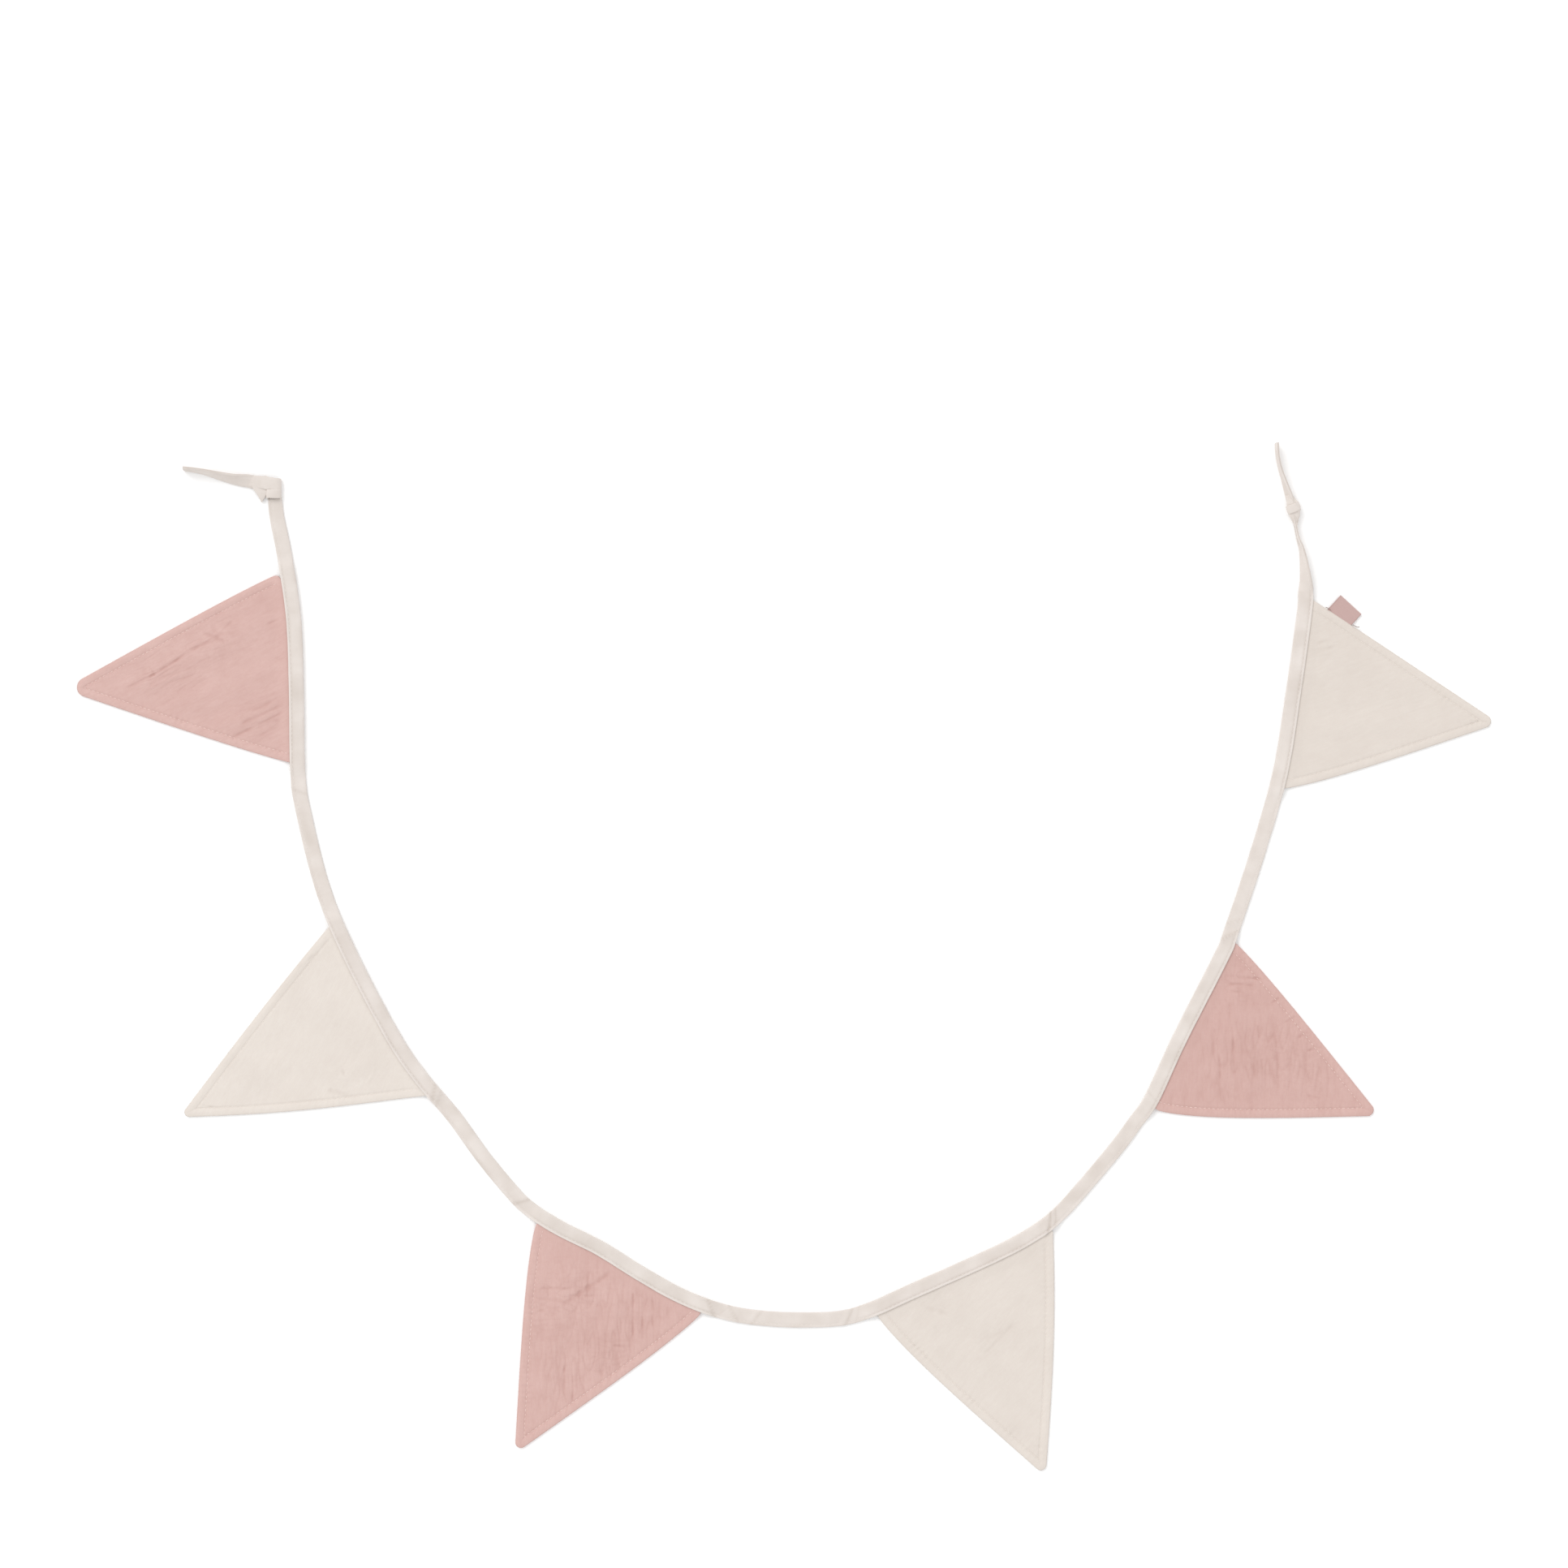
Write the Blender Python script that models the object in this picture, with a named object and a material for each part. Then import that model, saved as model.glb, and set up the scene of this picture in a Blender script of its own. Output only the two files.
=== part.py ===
"""Bunting: six muslin pennants sewn into a folded cotton tape that is knotted near both ends.

It lies flat on a surface. X runs across the bunting, Y up it, Z away from the surface.
Sizes below are in millimetres, and the meshes are built in metres.
"""
import math

import bmesh
import bpy
import numpy as np
from mathutils import Vector

MM = 0.001

# Middle of the lay, which becomes the origin, in the millimetres of the tables below
CENTRE_X = 0.2
CENTRE_Y = -0.7

# Carrying tape: a strip folded in half along its length, with the fold on the inner side of the U
TAPE_WIDTH = 10.5
TAPE_LEAF = 0.8
TAPE_EDGE_ROUND = 0.9
TAPE_FOLD_WALL = 1.6
TAPE_STITCH_IN = 1.9
TAPE_STITCH_HALF_WIDTH = 0.6
TAPE_STITCH_DEPTH = 0.25
TAPE_CROWN = 0.12
STATION_STEP = 10.0
CLOSEST_STATIONS = 1.5

# The slit between the two leaves: a shallow one where they are sewn together, a deep one at a pennant
SLIT_SHUT = 0.3
SLIT_SHUT_DEPTH = 1.3
SLIT_OPEN_DEPTH = 8.9
SLIT_PAST_FLAG = 3.0
SLIT_RUN_OUT = 9.0
GAP = 0.3

# Pennants: two layers of muslin, thin where the tape holds them, with a ridge along the turned seam
FLAG_THICK_IN_TAPE = 1.2
FLAG_THICK = 1.8
FLAG_TOP_EDGE_IN_TAPE = 7.7
FLAG_LEVEL_PAST_TAPE = 0.5
FLAG_DROP_LENGTH = 6.0
SEAM_RIDGE = 0.35
STITCH_GROOVE = 0.45
STITCH_IN = 5.0

# Side label: a woven tab folded over, caught in the upper seam of the last pennant
LABEL_WIDTH = 20.0
LABEL_PROUD = 11.5
LABEL_LEAF = 0.5
LABEL_SLIT = 0.3
LABEL_FROM_CORNER = 12.4
LABEL_LEAN = math.radians(9.0)
LABEL_TAPER = 0.26

# Route of the tape's middle line between the two knots, seen from above. The columns are x, y,
# the tape's twist about the route in degrees, and its own width there.
ROUTE = (
    (-357.2, 322, 0, 9.6),
    (-355.5, 307, 0, 10.2),
    (-350.1, 280, 0, TAPE_WIDTH),
    (-344, 238, 0, TAPE_WIDTH),
    (-342, 190, 0, TAPE_WIDTH),
    (-341, 130, 0, TAPE_WIDTH),
    (-337, 101, 0, TAPE_WIDTH),
    (-323, 46, 0, TAPE_WIDTH),
    (-303.5, -0.5, 0, TAPE_WIDTH),
    (-273.5, -57.5, 0, TAPE_WIDTH),
    (-254, -86, 0, TAPE_WIDTH),
    (-232, -112, 0, TAPE_WIDTH),
    (-211, -141, 0, TAPE_WIDTH),
    (-192, -164, 0, TAPE_WIDTH),
    (-179, -177, 0, TAPE_WIDTH),
    (-157, -191, 0, TAPE_WIDTH),
    (-129, -205, 0, TAPE_WIDTH),
    (-100, -223, 0, TAPE_WIDTH),
    (-71, -239, 0, TAPE_WIDTH),
    (-41, -250, 0, TAPE_WIDTH),
    (-12, -254.5, 0, TAPE_WIDTH),
    (17, -255.5, 0, TAPE_WIDTH),
    (42, -254, 0, TAPE_WIDTH),
    (62, -248, 0, TAPE_WIDTH),
    (90, -235.5, 0, TAPE_WIDTH),
    (147, -210, 0, TAPE_WIDTH),
    (176, -194.5, 0, TAPE_WIDTH),
    (195, -179.5, 0, TAPE_WIDTH),
    (216, -156, 0, TAPE_WIDTH),
    (235.5, -132.5, 0, TAPE_WIDTH),
    (246.5, -117.5, 0, TAPE_WIDTH),
    (258.5, -100, 0, TAPE_WIDTH),
    (278, -58, 0, TAPE_WIDTH),
    (307, -1, 0, TAPE_WIDTH),
    (314, 16, 0, TAPE_WIDTH),
    (333, 73, 0, TAPE_WIDTH),
    (348.7, 129, 0, TAPE_WIDTH),
    (358, 186, 0, TAPE_WIDTH),
    (365.5, 240, 0, TAPE_WIDTH),
    (366.5, 254, 0, TAPE_WIDTH),
    (366.4, 264, 40, 9.7),
    (363.8, 284, 73, 7.8),
    (360.7, 294, 84, 6.2),
    (358, 309, 85, 5.5),
)

# The two short tails beyond the knots, each starting inside its knot
LEFT_TAIL = (
    (-360, 329, 0, 9.4),
    (-373, 333, 12, 9.6),
    (-385, 334.5, 46, 9.6),
    (-396, 337, 60, 9.6),
    (-408, 340, 74, 9.4),
    (-421, 342, 80, 9.0),
)
RIGHT_TAIL = (
    (357, 315, 40, 7.0),
    (354.3, 324, 58, 7.4),
    (351.3, 333, 76, 8.0),
    (348.4, 342, 84, 8.6),
    (346.5, 351, 86, 9.2),
    (345.9, 360, 86, 9.4),
)

# Knots, seen from above: the wrapped pad, and the turn of tape that binds it
KNOT_BEVEL = 1.1
LEFT_KNOT_HEIGHT = 4.4
LEFT_KNOT = (
    (-365, 337.2),
    (-353.8, 335.2),
    (-352.8, 321.5),
    (-361, 321.5),
    (-366.6, 318.4),
    (-374, 329.6),
    (-372, 336.4),
)
LEFT_WRAP_HEIGHT = 5.6
LEFT_WRAP = (
    (-363, 326),
    (-352, 326.4),
    (-351.9, 321.6),
    (-363, 320.8),
)
RIGHT_KNOT_HEIGHT = 7.2
RIGHT_KNOT = (
    (352.7, 320),
    (357.5, 323),
    (362.9, 315.2),
    (361.5, 306.8),
    (358.8, 303),
    (353.5, 311),
)
RIGHT_WRAP_HEIGHT = 8.6
RIGHT_WRAP = (
    (353.6, 316.5),
    (361.5, 318),
    (362.4, 312),
    (355, 309.5),
)

# Creases that run across the tape: distance along the route, lean of the crease, height, half width
CREASE_COLUMNS = ("along", "lean", "height", "spread")
CREASES = (
    (206, 0.5, 0.3, 3.0),
    (440, -0.7, 0.5, 3.5),
    (538, 0.6, 0.7, 4.0),
    (691, -0.8, 0.6, 4.0),
    (708, -0.8, 0.5, 3.5),
    (789, 0.7, 0.6, 4.0),
    (945, 1.0, 0.9, 4.0),
    (1186, -0.9, 0.6, 4.0),
)

# Pennants, in their order along the tape. first and last are the corners where the free sides meet the
# tape, tip is the rounded end. A side's bow is how far it swells out, and peak is where, from the tape.
FLAG_COLUMNS = ("name", "cloth", "first", "last", "tip", "tip_radius",
                "first_bow", "first_peak", "last_bow", "last_peak")
FLAGS = (
    ("flag_1", "pink", (-353.5, 268.5), (-346, 136), (-496, 188), 7.0, 2.6, 0.45, 1.9, 0.4),
    ("flag_2", "cream", (-318, 22), (-251, -98), (-420.5, -110.5), 3.0, 2.6, 0.4, 3.4, 0.55),
    ("flag_3", "pink", (-173, -187.5), (-58.5, -251), (-185, -345.5), 3.6, 5.2, 0.42, 3.0, 0.3),
    ("flag_4", "cream", (65, -250), (189, -193.5), (181, -361), 3.6, 3.8, 0.33, 3.2, 0.5),
    ("flag_5", "pink", (261, -107), (316.5, 9.5), (414, -109.2), 4.0, 4.9, 0.32, 3.2, 0.25),
    ("flag_6", "cream", (350.5, 118), (371.5, 250), (496.5, 164.3), 4.5, 3.6, 0.3, 0.8, 0.3),
)

# Soft folds in the pennants, seen from above: each is a low ridge from one point to another, and the
# underside leaves the surface where a fold stands higher than the slack
FOLD_COLUMNS = ("flag", "x1", "y1", "x2", "y2", "spread", "height")
FOLDS = (
    ("flag_1", -462, 184, -366, 236, 13, 0.8),
    ("flag_1", -440, 168, -362, 200, 12, 0.5),
    ("flag_1", -400, 160, -358, 172, 10, 0.6),
    ("flag_2", -392, -98, -330, -60, 14, 0.5),
    ("flag_2", -318, -88, -288, -72, 10, 0.4),
    ("flag_3", -150, -214, -172, -318, 12, 0.7),
    ("flag_3", -118, -238, -128, -284, 10, 0.6),
    ("flag_4", 116, -246, 168, -316, 13, 0.7),
    ("flag_4", 100, -262, 128, -250, 9, 0.4),
    ("flag_5", 312, -24, 330, -96, 12, 0.7),
    ("flag_5", 340, -62, 362, -98, 10, 0.5),
    ("flag_6", 378, 222, 446, 186, 13, 0.6),
    ("flag_6", 366, 160, 432, 166, 12, 0.5),
)
FOLD_SLACK = 0.3

# Rows of a pennant, as shares of the way from the tape to the tip
FLAG_ROWS = (0.12, 0.2, 0.29, 0.38, 0.47, 0.56, 0.65, 0.74, 0.82, 0.89)
TIP_TURNS = (50.0, 30.0, 11.0)

# Shape of a pennant near a free side: distance in from the side, height of the top face above its
# plain thickness, and height of the underside above the surface
EDGE_PROFILE = (
    (0.0, -1.0, 0.7),
    (1.4, SEAM_RIDGE * 0.7, 0.0),
    (3.4, SEAM_RIDGE, 0.0),
    (STITCH_IN, -STITCH_GROOVE, 0.0),
    (7.6, 0.1, 0.0),
)
EDGE_IN, EDGE_TOP, EDGE_UNDER = zip(*EDGE_PROFILE)
MIDDLE_COLUMNS = 4
EDGE_SHARE_OF_HALF_ROW = 0.72
FREE_OF_EDGES = 99.0

# Colours as sRGB hex, then roughness
CLOTHS = {
    "pink": ("ddb9b0", 0.92),
    "cream": ("e9e0d8", 0.92),
    "tape": ("e4dcd5", 0.88),
    "label": ("cba9a4", 0.75),
}


def place(x, y, z):
    """A point of the tables below in metres about the middle of the lay."""
    return Vector((x - CENTRE_X, y - CENTRE_Y, z)) * MM


def linear_colour(code):
    """The linear colour of an sRGB hex code."""
    parts = [int(code[i:i + 2], 16) / 255.0 for i in (0, 2, 4)]
    return tuple(c / 12.92 if c <= 0.04045 else ((c + 0.055) / 1.055) ** 2.4 for c in parts) + (1.0,)


def cloth_material(name):
    """A matt cloth material in one of the bunting's colours."""
    code, roughness = CLOTHS[name]
    material = bpy.data.materials.new(name + "_cotton")
    material.use_nodes = True
    shader = material.node_tree.nodes["Principled BSDF"]
    shader.inputs["Base Color"].default_value = linear_colour(code)
    shader.inputs["Roughness"].default_value = roughness
    shader.inputs["Metallic"].default_value = 0.0
    return material


def smooth_step(value):
    """0 below 0, 1 above 1 and an even slope between."""
    t = min(max(value, 0.0), 1.0)
    return t * t * (3.0 - 2.0 * t)


def smooth_points(rows, steps=24):
    """Points along the rows: places on a Catmull-Rom curve, twist and width in an even slope."""
    rows = np.array(rows, dtype=float)
    rows = np.vstack([2 * rows[0] - rows[1], rows, 2 * rows[-1] - rows[-2]])
    points = []
    for a, b, c, d in zip(rows[:-3], rows[1:-2], rows[2:-1], rows[3:]):
        for t in np.linspace(0.0, 1.0, steps, endpoint=False):
            spot = 0.5 * (2 * b + (c - a) * t + (2 * a - 5 * b + 4 * c - d) * t ** 2
                          + (3 * b - a - 3 * c + d) * t ** 3)
            points.append(list(spot[:2]) + list(b[2:] + (c - b)[2:] * t))
    points.append(list(rows[-2]))
    return np.array(points)


class Path:
    """A route seen from above, which gives its point, side direction, twist and width by distance."""

    def __init__(self, rows):
        self.points = smooth_points(rows)
        steps = np.linalg.norm(np.diff(self.points[:, :2], axis=0), axis=1)
        self.along = np.concatenate([[0.0], np.cumsum(steps)])
        self.length = self.along[-1]

    def row(self, along):
        return np.array([np.interp(along, self.along, column) for column in self.points.T])

    def middle(self, along):
        return self.row(along)[:2]

    def outward(self, along):
        """The direction towards the pennants: to the right of the way along the route."""
        start = self.middle(max(along - 2.0, 0.0))
        end = self.middle(min(along + 2.0, self.length))
        way = (end - start) / np.linalg.norm(end - start)
        return np.array([way[1], -way[0]])

    def offset(self, along, out):
        return self.middle(along) + self.outward(along) * out

    def nearest(self, point):
        """The distance along the route that lies nearest a point."""
        gaps = np.linalg.norm(self.points[:, :2] - np.array(point), axis=1)
        return self.along[gaps.argmin()]


def tape_section(width, open_share, crease):
    """The folded tape's outline across its width: out to the side, up from the underside."""
    half = width / 2.0
    slit = SLIT_SHUT + open_share * (FLAG_THICK_IN_TAPE + 2.0 * GAP - SLIT_SHUT)
    depth = SLIT_SHUT_DEPTH + open_share * (SLIT_OPEN_DEPTH - SLIT_SHUT_DEPTH)
    root = half - min(depth, width - TAPE_FOLD_WALL)
    top = 2.0 * TAPE_LEAF + slit
    stitch = half - TAPE_STITCH_IN
    outline = [
        (-half + TAPE_EDGE_ROUND, 0.0),
        (half, 0.0),
        (half, TAPE_LEAF),
        (root, TAPE_LEAF),
        (root, TAPE_LEAF + slit),
        (half, TAPE_LEAF + slit),
        (half, top),
        (stitch + TAPE_STITCH_HALF_WIDTH, top + TAPE_CROWN),
        (stitch, top - TAPE_STITCH_DEPTH),
        (stitch - TAPE_STITCH_HALF_WIDTH, top + TAPE_CROWN),
        (-half + TAPE_EDGE_ROUND, top),
        (-half + 0.25 * TAPE_EDGE_ROUND, 0.8 * top),
        (-half, 0.5 * top),
        (-half + 0.25 * TAPE_EDGE_ROUND, 0.2 * top),
    ]
    return [(u, v + crease(u) if v >= top - TAPE_STITCH_DEPTH else v) for u, v in outline]


def swept_section(path, along, outline):
    """A section's points in space, turned by the twist and set down on the surface."""
    turn = math.radians(path.row(along)[2])
    side = path.outward(along)
    middle = path.middle(along)
    heights = [u * math.sin(turn) + v * math.cos(turn) for u, v in outline]
    outs = [u * math.cos(turn) - v * math.sin(turn) for u, v in outline]
    middle_out = (max(outs) + min(outs)) / 2.0
    floor = min(heights)
    ring = []
    for out, height in zip(outs, heights):
        x, y = middle + side * (out - middle_out)
        ring.append(place(x, y, height - floor))
    return ring


def loft(name, rings, cap):
    """A closed mesh through rings of equal length, with its two ends filled by the cap function."""
    mesh = bmesh.new()
    grid = [[mesh.verts.new(point) for point in ring] for ring in rings]
    count = len(rings[0])
    for ring, following in zip(grid[:-1], grid[1:]):
        for i in range(count):
            j = (i + 1) % count
            mesh.faces.new((ring[i], ring[j], following[j], following[i]))
    cap(mesh, grid[0])
    cap(mesh, grid[-1])
    bmesh.ops.recalc_face_normals(mesh, faces=mesh.faces)
    return finish_mesh(name, mesh)


def finish_mesh(name, mesh):
    """An object from a bmesh, shaded smooth but for its sharp edges."""
    data = bpy.data.meshes.new(name)
    mesh.to_mesh(data)
    mesh.free()
    data.shade_smooth()
    data.set_sharp_from_angle(angle=math.radians(40.0))
    item = bpy.data.objects.new(name, data)
    bpy.context.scene.collection.objects.link(item)
    return item


def cap_whole(mesh, ring):
    """Fills a flat end with one face."""
    mesh.faces.new(ring)


def cap_in_strips(mesh, ring):
    """Fills the end of a flat loop from side to side, the top points joined to those below them."""
    half = len(ring) // 2
    mesh.faces.new((ring[0], ring[1], ring[-1]))
    for i in range(1, half - 1):
        mesh.faces.new((ring[i], ring[i + 1], ring[-i - 1], ring[-i]))
    mesh.faces.new((ring[half - 1], ring[half], ring[half + 1]))


def make_tape_run(name, path, open_stretches):
    """The tape swept along a path, its slit deep and wide along the open stretches."""
    marks = set(np.linspace(0.0, path.length, int(path.length / STATION_STEP) + 2))
    creases = [dict(zip(CREASE_COLUMNS, row)) for row in CREASES] if open_stretches else []
    for crease in creases:
        for part in (-1.0, 0.0, 1.0):
            marks.add(crease["along"] + part * crease["spread"])
    for first, last in open_stretches:
        marks.update((first - SLIT_RUN_OUT / 2.0, last + SLIT_RUN_OUT / 2.0))
    stations = [0.0]
    for mark in sorted(marks):
        if mark - stations[-1] > CLOSEST_STATIONS:
            stations.append(mark)
    stations[-1] = path.length

    rings = []
    for along in stations:
        beyond = [max(first - along, along - last) for first, last in open_stretches]
        shut = smooth_step((min(beyond) - SLIT_PAST_FLAG) / SLIT_RUN_OUT) if beyond else 1.0

        def crease_height(u, along=along):
            height = 0.0
            for crease in creases:
                away = abs(along + u * crease["lean"] - crease["along"]) / crease["spread"]
                height = max(height, crease["height"] * (1.0 - min(away, 1.0)))
            return height

        outline = tape_section(path.row(along)[3], 1.0 - shut, crease_height)
        rings.append(swept_section(path, along, outline))
    return loft(name, rings, cap_whole)


def make_knot_pad(name, outline, height):
    """One lump of a knot: a flat pad of the given outline with softened edges."""
    mesh = bmesh.new()
    face = mesh.faces.new([mesh.verts.new(place(x, y, 0.0)) for x, y in outline])
    raised = bmesh.ops.extrude_face_region(mesh, geom=[face])["geom"]
    tops = [item for item in raised if isinstance(item, bmesh.types.BMVert)]
    bmesh.ops.translate(mesh, verts=tops, vec=(0.0, 0.0, height * MM))
    bmesh.ops.recalc_face_normals(mesh, faces=mesh.faces)
    edges = [edge for edge in mesh.edges if max(v.co.z for v in edge.verts) > 0.0]
    bmesh.ops.bevel(mesh, geom=edges, offset=KNOT_BEVEL * MM, segments=3, affect="EDGES", profile=0.5)
    return finish_mesh(name, mesh)


def join_to(base, added):
    """Joins another solid to the base by a Boolean union and leaves the added one as a guide."""
    union = base.modifiers.new("join_" + added.name, "BOOLEAN")
    union.operation = "UNION"
    union.solver = "EXACT"
    union.object = added
    added.hide_render = True
    added.display_type = "WIRE"


def make_tape(path, open_stretches):
    """The whole carrying tape: its run between the knots, the knots and the two tails, as one solid."""
    tape = make_tape_run("tape", path, open_stretches)
    added = (
        make_knot_pad("left_knot_pad", LEFT_KNOT, LEFT_KNOT_HEIGHT),
        make_knot_pad("left_knot_wrap", LEFT_WRAP, LEFT_WRAP_HEIGHT),
        make_tape_run("left_tail", Path(LEFT_TAIL), []),
        make_knot_pad("right_knot_pad", RIGHT_KNOT, RIGHT_KNOT_HEIGHT),
        make_knot_pad("right_knot_wrap", RIGHT_WRAP, RIGHT_WRAP_HEIGHT),
        make_tape_run("right_tail", Path(RIGHT_TAIL), []),
    )
    for item in added:
        join_to(tape, item)
    tape.data.materials.append(cloth_material("tape"))
    return tape


def bowed_side(corner, apex, bow, peak, inside):
    """A function that gives the point on a free side at a share of the way from the tape to the tip."""
    corner = np.array(corner)
    way = apex - corner
    normal = np.array([way[1], -way[0]]) / np.linalg.norm(way)
    if np.dot(normal, inside - corner) > 0.0:
        normal = -normal
    power = math.log(0.5) / math.log(peak)
    return lambda share: corner + way * share + normal * bow * math.sin(math.pi * share ** power)


def flag_sides(flag):
    """The two free sides, run out to the sharp point where they would meet, and the tip's half angle."""
    first = np.array(flag["first"])
    last = np.array(flag["last"])
    tip = np.array(flag["tip"])
    base = (first + last) / 2.0
    height = np.linalg.norm(tip - base)
    half_angle = math.atan(np.linalg.norm(last - first) / 2.0 / height)
    run_out = flag["tip_radius"] * (1.0 / math.sin(half_angle) - 1.0)
    apex = tip + (tip - base) / height * run_out
    first_side = bowed_side(first, apex, flag["first_bow"], flag["first_peak"], base)
    last_side = bowed_side(last, apex, flag["last_bow"], flag["last_peak"], base)
    return first_side, last_side, half_angle, height + run_out


def fold_height(folds, x, y):
    """How high the soft folds stand at a point."""
    height = 0.0
    for fold in folds:
        start = np.array((fold["x1"], fold["y1"]))
        way = np.array((fold["x2"], fold["y2"])) - start
        share = np.dot((x, y) - start, way) / np.dot(way, way)
        share = min(max(share, 0.0), 1.0)
        away = np.linalg.norm(start + way * share - (x, y)) / fold["spread"]
        height += fold["height"] * (1.0 - min(away, 1.0) ** 2) ** 2
    return height


def flag_ring(points, inward_distances, low, thick, relief, folds):
    """One loop round a pennant: across its top face from side to side, and back under it."""
    top = []
    under = []
    for (x, y), inward in zip(points, inward_distances):
        rise = np.interp(inward, EDGE_IN, EDGE_TOP) * relief
        lift = np.interp(inward, EDGE_IN, EDGE_UNDER) * relief
        fold = fold_height(folds, x, y) * relief
        top.append(place(x, y, low + thick + rise + fold))
        under.append(place(x, y, low + lift + max(fold - FOLD_SLACK, 0.0)))
    sides = [(a + b) / 2.0 for a, b in ((top[0], under[0]), (top[-1], under[-1]))]
    return [sides[0]] + top[1:-1] + [sides[1]] + under[-2:0:-1]


def columns_across(width):
    """Distances from the first side for a row of this width, and each one's distance to its own side."""
    scale = min(1.0, EDGE_SHARE_OF_HALF_ROW * width / 2.0 / EDGE_IN[-1])
    near = [inward * scale for inward in EDGE_IN]
    middle = list(np.linspace(near[-1], width - near[-1], MIDDLE_COLUMNS + 2)[1:-1])
    away = near + middle + [width - distance for distance in reversed(near)]
    inward = list(EDGE_IN) + [FREE_OF_EDGES] * MIDDLE_COLUMNS + list(EDGE_IN[::-1])
    return away, inward


def make_flag(path, flag):
    """A pennant: its top edge between the tape's leaves, its face lying on the surface beyond them."""
    first_side, last_side, half_angle, length = flag_sides(flag)
    start = path.nearest(flag["first"])
    end = path.nearest(flag["last"])
    folds = [dict(zip(FOLD_COLUMNS, row)) for row in FOLDS]
    folds = [fold for fold in folds if fold["flag"] == flag["name"]]
    tape_edge = TAPE_WIDTH / 2.0
    rings = []

    for past_edge in (-FLAG_TOP_EDGE_IN_TAPE, -FLAG_TOP_EDGE_IN_TAPE / 2.0, FLAG_LEVEL_PAST_TAPE):
        away, inward = columns_across(end - start)
        points = [path.offset(start + distance, tape_edge + past_edge) for distance in away]
        rings.append(flag_ring(points, inward, TAPE_LEAF + GAP, FLAG_THICK_IN_TAPE, 0.0, folds))

    tangent_share = 1.0 - flag["tip_radius"] / math.tan(half_angle) * math.cos(half_angle) / length
    rows = [(FLAG_DROP_LENGTH / length, 1.0)]
    rows += [(share * tangent_share, 1.0) for share in FLAG_ROWS]
    rows.append((tangent_share, 1.0))
    for turn in TIP_TURNS:
        from_apex = flag["tip_radius"] * (1.0 / math.sin(half_angle) - math.cos(math.radians(turn)))
        half_width = flag["tip_radius"] * math.sin(math.radians(turn))
        rows.append((1.0 - from_apex / length, half_width / (from_apex * math.tan(half_angle))))

    first_corner, last_corner = first_side(0.0), last_side(0.0)
    for share, narrowing in rows:
        left, right = first_side(share), last_side(share)
        middle = (left + right) / 2.0
        left = middle + (left - middle) * narrowing
        right = middle + (right - middle) * narrowing
        width = np.linalg.norm(right - left)
        away, inward = columns_across(width)
        points = []
        for distance in away:
            part = distance / width
            curved = path.offset(start + (end - start) * part, tape_edge)
            straight = first_corner + (last_corner - first_corner) * part
            follows_tape = (curved - straight) * (1.0 - share) ** 3 if 0.0 < part < 1.0 else 0.0
            points.append(left + (right - left) * part + follows_tape)
        rings.append(flag_ring(points, inward, 0.0, FLAG_THICK, 1.0, folds))

    item = loft(flag["name"], rings, cap_in_strips)
    item.data.materials.append(cloth_material(flag["cloth"]))
    return item


def make_label(flag):
    """The side label: a tab folded over at its outer end, its cut ends against the pennant's seam."""
    last_side, length = flag_sides(flag)[1], flag_sides(flag)[3]
    start = last_side(LABEL_FROM_CORNER / length)
    end = last_side((LABEL_FROM_CORNER + LABEL_WIDTH) / length)
    along = (end - start) / np.linalg.norm(end - start)
    out = np.array([-along[1], along[0]])
    if np.dot(out, start - np.array(flag["tip"])) < np.dot(-out, start - np.array(flag["tip"])):
        out = -out
    lean = math.tan(LABEL_LEAN)
    whole = 2.0 * LABEL_LEAF + LABEL_SLIT
    outline = (
        (0.0, 0.0),
        (LABEL_PROUD - whole / 2.0, 0.0),
        (LABEL_PROUD, whole * 0.3),
        (LABEL_PROUD, whole * 0.7),
        (LABEL_PROUD - whole / 2.0, whole),
        (0.0, whole),
        (0.0, whole - LABEL_LEAF),
        (LABEL_PROUD - whole, whole - LABEL_LEAF),
        (LABEL_PROUD - whole, LABEL_LEAF),
        (0.0, LABEL_LEAF),
    )
    rings = []
    for share in (0.0, 0.5, 1.0):
        root = start + (end - start) * share + out * (GAP * 2.0)
        reach = 1.0 + LABEL_TAPER * (0.5 - share)
        ring = []
        for proud, height in outline:
            x, y = root + (out + along * lean) * proud * reach
            ring.append(place(x, y, height))
        rings.append(ring)
    item = loft("side_label", rings, cap_whole)
    item.data.materials.append(cloth_material("label"))
    return item


def make_bunting():
    """Clears the scene and builds the tape, the pennants and the label."""
    for item in list(bpy.data.objects):
        bpy.data.objects.remove(item)
    path = Path(ROUTE)
    flags = [dict(zip(FLAG_COLUMNS, row)) for row in FLAGS]
    stretches = [(path.nearest(flag["first"]), path.nearest(flag["last"])) for flag in flags]
    make_tape(path, stretches)
    for flag in flags:
        make_flag(path, flag)
    make_label(flags[-1])


make_bunting()
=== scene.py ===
"""Bunting of six muslin pennants on a folded cotton tape, laid out flat and seen from straight above."""
import math

import bmesh
import bpy
import numpy as np
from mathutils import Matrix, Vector, noise
from mathutils.bvhtree import BVHTree


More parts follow.
